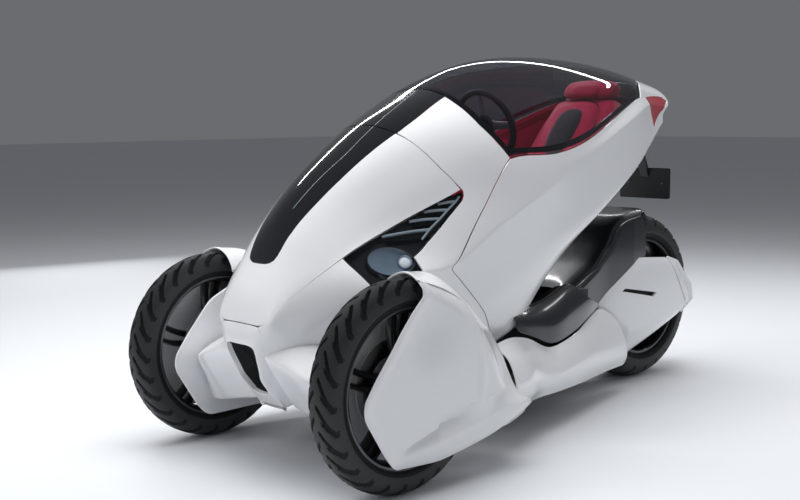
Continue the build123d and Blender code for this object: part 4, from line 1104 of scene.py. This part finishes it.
BAND_IDX = list(range(15, 7, -1))          # from the top front over the back to the bottom
OUT_BACK = np.array([SP_OUT[i] for i in [15, 14, 13, 12, 11, 10, 9, 8]], float)
STEP_Y = [-960, -893, -750, -736, -580, -450, -336, -300]
STEP_Z = [130, 147, 184, 213, 234, 252, 262, 264]
RIDGE_Y = [-960, -893, -750, -622, -494, -360, -300]
RIDGE_Z = [112, 118, 136, 158, 182, 196, 200]


def polyline_distance(y, z, line):
    p = np.stack([y, z], 1)
    best = np.full(len(p), 1e9)
    for a, b in zip(line[:-1], line[1:]):
        e = b - a
        t = np.clip(((p - a) @ e) / (e @ e), 0, 1)
        best = np.minimum(best, np.linalg.norm(p - a - t[:, None] * e, axis=1))
    return best


BACK_LINE = spline(OUT_BACK[:6], 6)
LIP_LINE = spline(np.array([(-798, 600), (-790, 562)] + FRONT_EDGE, float), 5)
BOTTOM_LINE = spline(np.array([(-908, 94), (-736, 84), (-600, 98), (-485, 126), (-327, 179)], float), 6)


def spat_height(y, z):
    x = np.full_like(y, 530.0)
    back = polyline_distance(y, z, BACK_LINE)
    x = x - 24 * np.clip(1 - back / 50, 0, 1) ** 2
    lip = polyline_distance(y, z, LIP_LINE)
    x = x - 4 * np.clip(1 - lip / 10, 0, 1) ** 2 - 2.5 * smoothstep(12, 36, lip)
    bottom = polyline_distance(y, z, BOTTOM_LINE)
    x = x - 14 * np.clip(1 - bottom / 34, 0, 1) ** 2
    # the plate is hollowed below its shoulder
    x = x - 17 * np.exp(-(((y + 768) / 100) ** 2 + ((z - 470) / 100) ** 2))
    zl, zr = np.interp(y, STEP_Y, STEP_Z), np.interp(y, RIDGE_Y, RIDGE_Z)
    e = zl - z
    w = np.maximum(zl - zr, 10)
    depth = np.interp(y, [-900, -850, -790, -740, -690, -640, -590, -545, -500, -450], [0, 8, 18, 21, 15, 7, 1.5, 1, 6, 10])
    depth = depth * smoothstep(4, 46, back)
    x = x - depth * smoothstep(-0.5, 2.6, e) * (1 - smoothstep(0.10, 0.9, e / w))
    # the lower hull swells out again over its ridge
    x = x + 3 * smoothstep(-900, -700, y) * np.exp(-((z - zr + 4) / 16) ** 2)
    # the turned tyre keeps its room behind the plate
    r = np.hypot(y + 820, z - 300)
    half = np.sqrt(1 - np.clip((r - 240) / 64, 0, 1) ** 2.5)
    reach = 444.5 + 49.6 * half + 0.122 * np.abs(y + 820)
    x = np.where(r < 306, np.maximum(x, reach + 5.4), x)
    return np.minimum(x, 529.8)


def spat_band(x):
    """The line over the top and back of the spat, at one place across its width."""
    k = (x - 346) / (530 - 346)
    a, b, c = (np.array(r, float) for r in (SP_IN, SP_MID, SP_OUT))
    t = (x - 346) / 184.0
    km = (443 - 346) / 184.0
    # a parabola through the three outlines
    la, lb, lc = (t - km) * (t - 1) / (km * 1), t * (t - 1) / (km * (km - 1)), t * (t - km) / (1 - km)
    p = a * la + b * lb + c * lc
    pts = p[15:7:-1]
    return spline(np.concatenate([pts, [p[8] * 0.45 + p[7] * 0.55]]), 9)


step_pts = [(y, z - o) for o in (-2.0, -0.5, 0.6, 1.6, 2.8, 5.0, 9.0) for y, z in resample(list(zip(STEP_Y[1:-1], STEP_Z[1:-1])), 4.0, closed=False)]
plate_outline = rounded(inset([SP_OUT[0]] + FRONT_EDGE + [SP_OUT[7]] + [tuple(q) for q in spat_band(530.0)[::-1]], 1.2), 26, n=5)
panel("spat_plate_left", height_field(spat_height), plate_outline, PAINT, step=7, edge_step=4, t=4, r=3, arc=5, extra=step_pts,
      replaces=("front_spat_left",), both=("spat_plate_right", "chassis", ("front_spat_right",)))
SP_LOW = inset(SP_IN, 72)
inner_outline = rounded([tuple(SP_LOW[i]) if 10 <= i <= 15 else tuple(inset(SP_IN, 1.2)[i]) for i in range(1, 16)], 24, n=4)
panel("spat_inner_left", height_field(lambda y, z: np.full_like(y, 347.0), -1.0), inner_outline, PAINT, step=14, edge_step=6, t=6, r=4, arc=4,
      both=("spat_inner_right", "chassis", ()))


band_rows = []
for x in (346, 346.6, 348, 350, 353, 357, 362, 370, 380, 390, 400, 412, 425, 440, 455, 470, 485, 495, 500, 503.5):
    line = spat_band(min(530.0, x + (0 if x < 440 else (x - 440) / 63.5 * 26.5)))
    drop = 0.0
    if x < 492:
        drop = 98 * (1 - math.sqrt(max(0.0, 1 - ((492 - x) / 151.0) ** 2)))
    tan = np.gradient(line, axis=0)
    tan /= np.linalg.norm(tan, axis=1, keepdims=True)
    nrm = np.stack([tan[:, 1], -tan[:, 0]], 1)
    nrm *= -1 if nrm[len(nrm) // 2] @ (line[len(line) // 2] - np.array([-700, 300])) < 0 else 1
    line = line - nrm * (drop + 1.2 * smoothstep(440, 503.5, x))
    first, n1, t1 = line[0], nrm[0], tan[0]
    fold = [first - n1 * 6 + t1 * 60, first - n1 * 7 + t1 * 14, first - n1 * 7 - t1 * 1, first - n1 * 5 - t1 * 4.0, first - n1 * 2 - t1 * 4.6, first - n1 * 0.4 - t1 * 2.5]
    row = np.concatenate([fold, line])
    band_rows.append(np.stack([np.full(len(row), x), row[:, 0], row[:, 1]], 1))
band = skin("spat_band_left", band_rows, PAINT, closed=False, sharp=60, both=("spat_band_right", "chassis", ()))

# arm fairings between the nose and the spats
AF = [(88, [(-1004, 372), (-1011, 352), (-904, 196), (-892, 190), (-760, 190), (-760, 470), (-915, 452)]),
      (130, [(-1003, 362), (-1009, 342), (-905, 188), (-894, 182), (-760, 184), (-760, 448), (-918, 428)]),
      (175, [(-1002, 350), (-1006, 330), (-906, 180), (-896, 174), (-760, 178), (-760, 424), (-921, 402)]),
      (250, [(-997, 324), (-1001, 306), (-908, 165), (-898, 158), (-760, 165), (-760, 384), (-923, 362)]),
      (300, [(-972, 308), (-976, 292), (-902, 155), (-892, 148), (-760, 158), (-760, 366), (-905, 343)]),
      (349, [(-928, 296), (-932, 280), (-890, 148), (-882, 142), (-760, 150), (-760, 352), (-880, 328)])]
loft("arm_fairing_left", [[(x, y, z) for y, z in pts] for x, pts in AF], [0.42, 0.42, 0.25, 0.25, 0.05, 0.12, 0.45], PAINT, along=6, per=4, mids=3,
     caps=(True, True), sharp=50, replaces=("arm_fairings",), both=("arm_fairing_right", "chassis", ()))

# ---------------------------------------------------------------- tyres
def tyre(name, cx, cy, cz, half, rad, bead, bodies, pitches, body, replaces, n):
    crown = []
    for k in range(-25, 26):
        q = k / 25
        off = half * 0.97 * math.sin(q * math.pi / 2 * 0.98)
        crown.append((off, rad - (rad - bodies[0]) * (abs(q) ** 2.4)))
    side_r = [(half, bodies[0] - (bodies[0] - bead) * 0.22), (half * 0.985, bodies[0] - (bodies[0] - bead) * 0.45), (half * 0.94, bead + 10), (half * 0.90, bead + 7), (half * 0.86, bead + 7.5),
              (half * 0.82, bead + 1), (half * 0.80, bead)]
    prof = crown + side_r + [(-a, b) for a, b in side_r[::-1]]
    prof = np.array(prof)
    m = len(crown)

    def warp(th, off, r):
        r = r.copy()
        o = prof[:m, 0]
        t = np.abs(o) / half
        arc = th * rad
        P = 2 * math.pi * rad / pitches
        cut = np.zeros(m)
        sgn = np.where(o >= 0, 0.0, 0.5)
        for shift, sweep, t0, t1, w, dep in ((0.0, 1.35, 0.10, 0.93, 4.2, 6.0), (0.42, 0.85, 0.42, 0.97, 3.2, 5.0), (0.68, 0.45, 0.62, 0.985, 2.2, 3.4)):
            centre = (shift + sgn) * P + sweep * P * (t ** 1.5)
            d = (arc - centre + P / 2) % P - P / 2
            slope = sweep * P * 1.5 * np.sqrt(np.maximum(t, 1e-3)) / half
            dist = np.abs(d) / np.sqrt(1 + slope ** 2)
            gate = smoothstep(t0 - 0.05, t0 + 0.03, t) * (1 - smoothstep(t1 - 0.05, t1, t))
            cut = np.maximum(cut, dep * gate * (1 - smoothstep(w * 0.62, w * 1.15, dist)))
        r[:m] -= cut
        return off, r
    ob = lathe(name, prof, (cx, cy, cz), RUBBER, body, n=n, sharp=42, replaces=replaces, warp=warp)
    # faces sunk over 1 mm into the tread take the darker groove rubber: painted shade in the grooves
    ob.data.materials.append(GROOVE_SHADE)
    me = ob.data
    cen = np.empty(len(me.polygons) * 3)
    me.polygons.foreach_get("center", cen)
    cen = cen.reshape(-1, 3) * 1000.0
    off, r = cen[:, 0] - cx, np.hypot(cen[:, 1] - (cy + DY), cen[:, 2] - cz)
    cr = np.array(crown)
    deep = np.interp(off, cr[:, 0], cr[:, 1]) - r
    me.polygons.foreach_set("material_index", ((deep > 1.0) & (np.abs(off) < half * 0.965)).astype(np.int32))
    return ob


NT = 680
tyre("front_tread_left", 443, -820, 300, 50, 300, 225, (258, 0), 26, "wheel_front_left", ("front_tyre_left",), NT)
tyre("front_tread_right", -443, -820, 300, 50, 300, 225, (258, 0), 26, "wheel_front_right", ("front_tyre_right",), NT)
tyre("rear_tread", 0, 862, 323, 97, 323, 226, (268, 0), 24, "wheel_rear", ("rear_tyre",), NT)


def rim(prefix, cx, cy, cz, half, rad, hub_r, hub_half, spokes, pair, body, replaces, inner_bore):
    lip = [(-half, rad - 6), (-half - 0.5, rad), (-half + 1.5, rad + 6.2), (-half + 4, rad + 6.5), (-half + 4.6, rad - 0.6), (-half * 0.45, rad - 9),
           (0, rad - 11), (half * 0.45, rad - 9), (half - 4.6, rad - 0.6), (half - 4, rad + 6.5), (half - 1.5, rad + 6.2), (half + 0.5, rad), (half, rad - 6),
           (half - 3, rad - 8.5), (half - 8, rad - 11), (half * 0.5, rad - 17), (0, rad - 19), (-half * 0.5, rad - 17), (-half + 8, rad - 11), (-half + 3, rad - 8.5)]
    lathe(prefix + "_barrel", lip, (cx, cy, cz), RIM, body, n=160, sharp=40, replaces=replaces)
    bright = [(half - 1.4, rad - 6.6), (half + 0.7, rad - 5.4), (half + 1.0, rad - 1), (half + 0.3, rad + 1.5), (half - 1.4, rad + 1.0)]
    for sg, nm in ((1, "a"), (-1, "b")):
        lathe(prefix + "_lip_" + nm, [(o * sg, r) for o, r in bright], (cx, cy, cz), SMOKE, body, n=160, sharp=50)
    hub = [(-hub_half, inner_bore), (-hub_half, hub_r * 0.62), (-hub_half + 3, hub_r * 0.72), (-hub_half * 0.6, hub_r * 0.95), (-hub_half * 0.3, hub_r * 1.05), (hub_half * 0.3, hub_r * 1.05),
           (hub_half * 0.6, hub_r * 0.95), (hub_half - 3, hub_r * 0.72), (hub_half, hub_r * 0.62), (hub_half, inner_bore)]
    lathe(prefix + "_hub", hub, (cx, cy, cz), RIM, body, n=96, sharp=40)
    k = 0
    for s in range(spokes):
        for dd in ((-pair, pair) if pair else (0,)):
            k += 1
            ang = math.radians(90 + 360 / spokes * s + dd)
            rows = []
            for j in range(13):
                t = j / 12
                r = hub_r * 0.93 + (rad - 15 - hub_r * 0.93) * t
                a = ang - math.radians(dd * 0.35) * t + 0.05 * math.sin(t * math.pi)
                w = (hub_r * 0.17) * (1 - t) + 7.5 * t + 1.5 * abs(2 * t - 1) ** 3
                h = (hub_half * 0.55) * (1 - t) + (half * 0.42) * t
                off = 0
                c, s_ = math.cos(a), math.sin(a)
                cs = []
                for px, pw in ((1, -0.55), (1, 0.55), (0.55, 1), (-0.55, 1), (-1, 0.55), (-1, -0.55), (-0.55, -1), (0.55, -1)):
                    cs.append((cx + off + h * px, cy + r * c - w * pw * s_, cz + r * s_ + w * pw * c))
                rows.append(cs)
            skin("%s_spoke_%d" % (prefix, k), rows, RIM, body=body, caps=(True, True), sharp=35)
    return


rim("front_wheel_left", 443, -820, 300, 42, 224, 70, 27, 5, 9, "wheel_front_left", ("front_rim_left",), 58)
rim("front_wheel_right", -443, -820, 300, 42, 224, 70, 27, 5, 9, "wheel_front_right", ("front_rim_right",), 58)
rim("rear_wheel", 0, 862, 323, 84, 224, 92, 86, 5, 0, "wheel_rear", ("rear_rim",), 13)
for nm, sg in (("left", 1), ("right", -1)):
    disc = [(-31.5, 84), (-31.5, 128), (-30.5, 130), (-28.5, 130), (-27.5, 128), (-27.5, 84), (-28.5, 82), (-30.5, 82)]
    lathe("brake_disc_" + nm, [(o * sg, r) for o, r in disc], (443 * sg, -820, 300), STEEL, "wheel_front_" + nm, n=96, sharp=35)

# ---------------------------------------------------------------- floor skirts
SKIRT = [(-335, [(438, 150), (462, 205), (425, 300), (352, 330)]), (-230, [(405, 138), (432, 192), (398, 288), (325, 338)]),
         (-100, [(352, 126), (376, 180), (350, 262), (295, 318)]), (40, [(322, 118), (344, 166), (328, 226), (284, 264)]),
         (190, [(288, 113), (308, 160), (290, 238), (252, 276)]), (440, [(222, 108), (238, 155), (214, 262), (188, 342)]),
         (600, [(192, 106), (204, 150), (186, 262), (172, 390)]), (660, [(184, 106), (196, 150), (178, 262), (166, 400)])]
COVER = [(-150, [(300, 345), (292, 384), (264, 396), (240, 350)]), (-60, [(292, 315), (284, 374), (240, 406), (215, 330)]),
         (60, [(282, 272), (282, 354), (230, 424), (190, 300)]), (200, [(252, 285), (260, 380), (210, 460), (170, 320)]),
         (330, [(222, 322), (236, 404), (190, 474), (150, 350)]), (440, [(192, 352), (208, 424), (168, 500), (140, 370)])]


def sheet_fn(rows, unit=80.0, grow=0.0):
    """A smooth skin through rows of (x, z) columns, read as fn(y, w)."""
    ys = np.array([r[0] for r in rows], float)
    cols = np.array([r[1] for r in rows], float)
    fine_y = np.arange(ys[0], ys[-1] + 1, 6.0)
    tab = np.stack([[pchip(ys, cols[:, k, c], fine_y) for c in (0, 1)] for k in range(cols.shape[1])])   # col, comp, y
    tab = np.moveaxis(tab, 2, 0)                                       # y, col, comp
    dense = np.array([spline(t, 16) for t in tab])                     # y, w, comp
    dense = soften(soften(dense, 3.5, 0), 3.0, 1)
    wn = dense.shape[1] - 1
    wtot = unit * (cols.shape[1] - 1)
    pos = np.stack([dense[..., 0], np.broadcast_to(fine_y[:, None], dense.shape[:2]), dense[..., 1]], -1)
    gy, gw = np.gradient(pos, axis=0), np.gradient(pos, axis=1)
    nr = np.cross(gy, gw)
    nr /= np.linalg.norm(nr, axis=2, keepdims=True)
    if nr[len(nr) // 2, wn // 3, 0] < 0:
        nr = -nr

    def read(t, y, w):
        fy = np.clip((y - fine_y[0]) / 6.0, 0, len(fine_y) - 1.001)
        fw = np.clip(w / wtot * wn, 0, wn - 0.001)
        i, j = fy.astype(int), fw.astype(int)
        a, b = (fy - i)[:, None], (fw - j)[:, None]
        return t[i, j] * (1 - a) * (1 - b) + t[i + 1, j] * a * (1 - b) + t[i, j + 1] * (1 - a) * b + t[i + 1, j + 1] * a * b

    def fn(y, w):
        n = read(nr, y, w)
        n /= np.linalg.norm(n, axis=1, keepdims=True)
        return read(pos, y, w), n
    return fn


skirt_outline = [(-331, 4), (200, 4), (576, 4), (587, 80), (588, 120), (548, 165), (482, 205), (434, 236), (-331, 236)]
panel("skirt_skin_left", sheet_fn(SKIRT), rounded(skirt_outline, 14, n=3), PAINT, step=9, edge_step=5, t=5, r=3.0, arc=4, replaces=("side_skirts",),
      both=("skirt_skin_right", "chassis", ()))
cover_outline = [(-146, 4), (423, 4), (288, 84), (186, 160), (238, 236), (-146, 236)]
panel("cover_skin_left", sheet_fn(COVER), rounded(cover_outline, 26, n=4), METALLIC, step=9, edge_step=5, t=4, r=4.0, arc=4, replaces=("mid_covers",),
      both=("cover_skin_right", "chassis", ()))
# near-black sheets behind the gaps: painted shade in the gaps
panel("gap_shade_sheet_left", height_field(lambda y, z: 136 + 90 * smoothstep(500, -200, y) - 0 * z), rounded([(-180, 190), (640, 130), (690, 300), (480, 420), (200, 440), (-120, 370)], 20),
      SHADOW, step=30, edge_step=20, t=3, r=1, both=("gap_shade_sheet_right", "chassis", ()))

# ---------------------------------------------------------------- rear end
FAIRING = [(470, 342), (718, 497), (925, 480), (985, 456), (1078, 352), (1092, 290), (1016, 238), (862, 184), (634, 106), (636, 170), (630, 218)]
fair_in = rounded(inset(FAIRING, 9), 20, n=4)
F_EDGE = np.vstack([inset(FAIRING, 1), inset(FAIRING, 1)[:1]])
CR_A, CR_B = np.array([600.0, 207.0]), np.array([1079.0, 290.0])


def fairing_height(y, z):
    d = polyline_distance(y, z, F_EDGE)
    x = 167.0 - 10 * np.clip(1 - d / 34, 0, 1) ** 2
    e = (CR_B - CR_A) / np.linalg.norm(CR_B - CR_A)
    n = np.array([-e[1], e[0]])
    h = (y - CR_A[0]) * n[0] + (z - CR_A[1]) * n[1]
    x = x - 0.30 * (np.sqrt(np.maximum(-h, 0) ** 2 + 36) - 6 + 0 * h) * (h < 0)
    x = x - 0.00013 * (y - 820) ** 2 - 0.0002 * np.maximum(h, 0) ** 2
    return x


CUT_LINE = [(924, 478), (955, 436), (990, 381), (1020, 331), (1043, 293), (1030, 262), (1012, 240)]
main_part = [(470, 342), (718, 497), (922, 480)] + CUT_LINE[1:-1] + [(1010, 236), (862, 184), (634, 106), (636, 170), (630, 218)]
slot = rounded([(608, 373), (642, 388), (845, 352), (818, 330)], 6, n=3)
panel("fairing_left", height_field(fairing_height), rounded(inset(main_part, 5), 12, n=4), PAINT, holes=[slot], hole_r=5, hole_t=12, step=8, edge_step=4, t=6,
      r=5, arc=5, replaces=("rear_fairings",), both=("fairing_right", "chassis", ()))
rear_part = [(925, 481), (1000, 460), (1099, 354), (1113, 290), (1034, 238)] + [(y + 3, z + 1) for y, z in CUT_LINE[::-1][1:-1]]
panel("fairing_edge_left", height_field(lambda y, z: fairing_height(y, z) - 1.0), rounded(inset(rear_part, 4.5), 6, n=3), PAINT, step=7, edge_step=4, t=6, r=3.5, arc=4,
      both=("fairing_edge_right", "chassis", ()))
# a near-black sheet behind the fairing slot: painted shade in the slot
panel("slot_shade_sheet_left", height_field(lambda y, z: fairing_height(y, z) - 14), rounded([(604, 366), (642, 392), (850, 352), (818, 324)], 6), SHADOW, step=20, edge_step=12, t=2, r=0.5,
      both=("slot_shade_sheet_right", "chassis", ()))
# the fairings' inner wall
panel("fairing_inner_left", height_field(lambda y, z: np.full_like(y, 121.0), -1.0), rounded(inset(FAIRING, 16), 14), PLASTIC, step=30, edge_step=12, t=3, r=1.5,
      both=("fairing_inner_right", "chassis", ()))
shell_rows = []
loop = resample(rounded(inset(FAIRING, 4.2), 18, n=4), 7)
loop_in = resample(rounded(inset(FAIRING, 4.2), 18, n=4), 7)
xs_edge = fairing_height(loop[:, 0], loop[:, 1]) - 5
shell_rows = [np.stack([xs_edge * k + 122 * (1 - k), loop[:, 0], loop[:, 1]], 1) for k in (1.0, 0.66, 0.33, 0.0)]
skin("fairing_wall_left", shell_rows, PAINT, caps=(False, False), sharp=60, both=("fairing_wall_right", "chassis", ()))

HUG_TOP = spline(np.array([(262, 424), (318, 438), (400, 470), (470, 502), (530, 545), (562, 580), (590, 622), (640, 655), (700, 668), (775, 678), (790, 668)], float), 5)
rows = []
for x in (-150, -149, -146, -140, -130, -116, -95, -60, -20, 20, 60, 95, 116, 130, 140, 146, 149, 150):
    k = max(0.0, (abs(x) - 96) / 54)
    drop = 34 * (1 - math.sqrt(max(0.0, 1 - k * k)))
    tan = np.gradient(HUG_TOP, axis=0)
    tan /= np.linalg.norm(tan, axis=1, keepdims=True)
    nrm = np.stack([-tan[:, 1], tan[:, 0]], 1)
    line = HUG_TOP - nrm * drop
    end, tt, n_ = line[-1], tan[-1], nrm[-1]
    back = [end + tt * 2 - n_ * 3, end + tt * 1 - n_ * 6, end - tt * 16 - n_ * 7]
    line = np.concatenate([line, back])
    rows.append(np.stack([x * (1 + 0.17 * (1 - smoothstep(300, 560, line[:, 0]))), line[:, 0], line[:, 1]], 1))
skin("hugger_top", rows, METALLIC, closed=False, sharp=60, replaces=("rear_hugger",))
HUG_SIDE = [(282, 412), (330, 426), (455, 474), (545, 545), (590, 604), (650, 632), (764, 646), (786, 636), (790, 490), (745, 494), (652, 440), (566, 386), (488, 336), (452, 350), (366, 390)]
hug_edge = np.array(HUG_SIDE + HUG_SIDE[:1], float)


def hug_height(y, z):
    d = polyline_distance(y, z, np.array(HUG_SIDE[:8], float))
    return 151.0 + 26 * (1 - smoothstep(300, 560, y)) - 3 * np.clip(1 - d / 30, 0, 1) ** 2 - 0.0004 * (z - 520) ** 2 - 0.09 * np.maximum(y - 700, 0)


panel("hugger_side_left", height_field(hug_height), rounded(inset(HUG_SIDE, 3), 10, n=3), METALLIC, step=10, edge_step=5, t=5, r=3, arc=4,
      both=("hugger_side_right", "chassis", ()))

# number plate board and its arm
bd = rounded([(-117, 701), (117, 701), (117, 821), (-117, 821)], 8, n=4)
holes_bd = [np.array([(sx * 80 + 3.2 * math.cos(t), 761 + 3.2 * math.sin(t)) for t in np.linspace(0, 2 * math.pi, 16, endpoint=False)]) for sx in (-1, 1)]


def board_fn(sign, y0):
    def fn(x, z):
        return np.stack([x, np.full_like(x, y0), z], 1), np.tile([0.0, sign, 0.0], (len(x), 1))
    return fn


panel("plate_board_skin", board_fn(1.0, 985.8), bd, PLASTIC, holes=holes_bd, step=14, edge_step=3, t=5.6, r=1.0, hole_r=0.3, replaces=("plate_board",))
frame_out = rounded([(-112, 706), (112, 706), (112, 816), (-112, 816)], 6, n=4)
skin("plate_board_arm", [[(x, y, z) for x, z in ((-20 * w, zt), (20 * w, zt), (20 * w, zt - h), (-20 * w, zt - h))]
                         for y, zt, h, w in ((905, 978, 22, 1.0), (930, 930, 26, 0.9), (955, 876, 30, 0.85), (978, 826, 40, 0.9))], PLASTIC, sharp=40)

# ---------------------------------------------------------------- cabin
def cushion(name, side, half, mat, puff=0.5, cuts=0.35, stations=17, side_pull=6.0, body="chassis", replaces=(), square=3.2):
    """A crowned pad from its side view: full in the middle, drawn in between its corners."""
    side = np.asarray(side, float)
    c = side.mean(0)
    rows = []
    for k in range(stations):
        q = -1 + 2 * k / (stations - 1)
        full = (1 - abs(q) ** square) ** (1 / square) if abs(q) < 1 else 0.0
        f = 0.12 + 0.88 * full
        x = half * q * (1 - 0.02 * math.cos(q * math.pi))
        pts = c + (side - c) * (1 - (1 - f) * np.array([1, 1]) * 0.42)
        rows.append([(x, y, z) for y, z in pts])
    rings = [corner_ring(r, [cuts], 5, 3) for r in rows]
    ob = skin(name, rings, mat, body=body, caps=(True, True), sharp=80, replaces=replaces, cap_push=side_pull)
    return ob


cushion("seat_cushion", [(70, 552), (190, 618), (300, 692), (286, 742), (170, 690), (62, 636)], 148, CLOTH, replaces=("seat_base",))
# the seat back: a red shell with a dark pad let into it
cushion("seat_shell", [(330, 712), (395, 745), (520, 905), (650, 1072), (636, 1092), (590, 1092), (500, 1000), (310, 770)], 144, REDTRIM, square=4.0, replaces=("seat_back",))
cushion("seat_back_pad", [(300, 735), (330, 716), (470, 884), (572, 1050), (560, 1088), (530, 1070), (430, 950), (290, 780)], 104, REDTRIM, square=2.6)
cushion("seat_back_centre", [(372, 884), (386, 846), (470, 900), (548, 1010), (536, 1056), (502, 1058), (432, 980)], 52, CLOTH, square=2.2, cuts=0.45)
cushion("head_pad", [(568, 1098), (610, 1086), (652, 1082), (686, 1128), (650, 1168), (596, 1160)], 104, REDTRIM, square=2.2, cuts=0.45, replaces=("headrest",))
cushion("head_pad_centre", [(560, 1104), (585, 1096), (600, 1108), (606, 1140), (594, 1156), (572, 1140)], 58, REDTRIM, square=2.2, cuts=0.45)
for sg, nm in ((1, "left"), (-1, "right")):
    pts = spline(np.array([(96 * sg, 303, 775), (97 * sg, 400, 880), (97 * sg, 500, 990), (80 * sg, 556, 1062), (40 * sg, 574, 1086), (0, 577, 1090)], float), 8)
    tube("seat_piping_" + nm, pts, 2.4, THREAD, n=8)

for sg, nm in ((1, "left"), (-1, "right")):
    aa = np.arange(520, 1236, 14.0)
    rows = []
    for u, d in ((338, 12), (352, 15), (380, 19), (410, 21), (440, 22), (466, 22), (484, 23), (520, 23), (580, 21), (640, 19), (700, 17), (712, 20)):
        rows.append(pod(aa, np.full(len(aa), u * sg * 1.0), float(d))[0])
    rows = [np.array(r) for r in rows]
    sk = skin("side_trim_skin_" + nm, rows, REDTRIM, closed=False, sharp=70, replaces=(("side_trims",) if sg > 0 else ()))
    for u, d in ((372, 17.5), (446, 20.0)):
        path = pod(aa, np.full(len(aa), u * sg * 1.0), d)[0]
        tube("trim_seam_%d_%s" % (u, nm), path, 1.6, THREAD, n=6)

# the lining of the cabin, one closed shell from sill to sill
rows = []
uu = np.array([346, 400, 450, 484, 540, 620, 700, 760, 850, 930, 1000], float)
uu = np.concatenate([-uu, uu[::-1][1:]])
for a in np.arange(505, 1245, 20.0):
    o = pod(np.full(len(uu), a), uu, 8.5)[0]
    i_ = pod(np.full(len(uu), a), uu, 11.5)[0]
    rows.append(np.concatenate([o, i_[::-1]]))
skin("cabin_lining", rows, DARKTRIM, sharp=50, replaces=("cabin_tub",))

# dashboard: a hooded shell with two displays
dash = loft("dash_shell", [[(x, y - abs(x) * 0.12, z - abs(x) * 0.16) for y, z in ((-412, 986), (-340, 1030), (-262, 1020), (-204, 984), (-178, 930), (-176, 905), (-380, 878))]
                           for x in (-148, -132, -80, -30, 30, 80, 132, 148)], [0.34], DARKTRIM, along=3, per=4, mids=2, sharp=60, replaces=("dashboard",), cap_push=3)
for k, (x0, x1) in enumerate(((-88, -22), (22, 88))):
    o_ = np.array([0, -196.0, 958.0])
    dv = np.array([0, 0.42, -0.908])
    dv /= np.linalg.norm(dv)
    nv = np.array([0, 0.908, 0.42])
    poly = rounded([(x0, -26), (x1, -26), (x1, 24), (x0, 24)], 8, n=3)

    def scr(a, b, o_=o_, dv=dv, nv=nv):
        return o_ + np.outer(a, [1.0, 0, 0]) + np.outer(b, dv) + nv * 9.0, np.tile(nv / np.linalg.norm(nv), (len(a), 1))
    panel("display_%d" % (k + 1), scr, poly, SCREEN, step=16, edge_step=6, t=8, r=2.0)
# steering wheel: a grip ring, three spokes and a hub
ctr = np.array([0, 20.0, 1000.0])
axd = np.array([0, 188.0, 70.0])
axd /= np.linalg.norm(axd)
ux = np.array([1.0, 0, 0])
uy = np.cross(axd, ux)
rows = []
for k in range(72):
    th = 2 * math.pi * k / 72
    rad = ux * math.cos(th) + uy * math.sin(th)
    fat = 1 + 0.18 * (abs(math.cos(th)) > 0.75)
    rows.append([ctr + axd * 8 + rad * (120 + 11 * fat * math.cos(g)) + axd * (11 * math.sin(g)) for g in np.linspace(0, 2 * math.pi, 14, endpoint=False)])
skin("steering_grip", rows, DARKTRIM, body="steering_wheel", wrap=True, sharp=80, replaces=("steering_wheel",))
for k, th in enumerate((0, math.pi, -math.pi / 2)):
    rad = ux * math.cos(th) + uy * math.sin(th)
    tg = np.cross(axd, rad)
    rr = []
    for j in range(8):
        t = j / 7
        r = 20 + 96 * t
        w = 17 - 8 * t + 4 * abs(2 * t - 1) ** 2
        rr.append([ctr + rad * r + tg * w * a + axd * (7 + 5 * b) for a, b in ((-1, -0.5), (-1, 0.5), (-0.6, 1), (0.6, 1), (1, 0.5), (1, -0.5), (0.6, -1), (-0.6, -1))])
    skin("steering_spoke_%d" % (k + 1), rr, LILAC, body="steering_wheel", sharp=50)
hubr = []
for r, d in ((37, -6), (40, 0), (40, 12), (36, 18), (26, 22), (10, 23)):
    hubr.append([ctr + axd * d + (ux * math.cos(g) + uy * math.sin(g)) * r for g in np.linspace(0, 2 * math.pi, 40, endpoint=False)])
skin("steering_hub", hubr, DARKTRIM, body="steering_wheel", sharp=50)

# ---------------------------------------------------------------- CAD nodes that stay
KEEP = {"front_arms": RIM, "front_subframe": RIM, "front_knuckle_left": ALLOY, "front_knuckle_right": ALLOY, "chassis_frame": PLASTIC, "battery_pack": METALLIC,
        "swingarm": RIM, "steering_column": PLASTIC}
for node, m in KEEP.items():
    ob = frame["nodes"][node]
    ob.data.materials.clear()
    ob.data.materials.append(m)
    ob.data.set_sharp_from_angle(angle=math.radians(35)) if hasattr(ob.data, "set_sharp_from_angle") else None
    bv = ob.modifiers.new("edge", "BEVEL")
    bv.width, bv.segments, bv.limit_method, bv.angle_limit = 0.0012, 2, "ANGLE", math.radians(40)

# the side tube draws the highlight of the satin covers only
satin = bpy.data.collections.new("satin_parts")
for ob in SC.objects:
    if ob.type == "MESH" and METALLIC in list(ob.data.materials):
        satin.objects.link(ob)
bpy.data.objects["side_tube"].light_linking.receiver_collection = satin
# clear parts let the light through to what is behind them
for name in ("canopy_bubble", "lamp_lens_left", "lamp_lens_right"):
    bpy.data.objects[name].visible_shadow = False
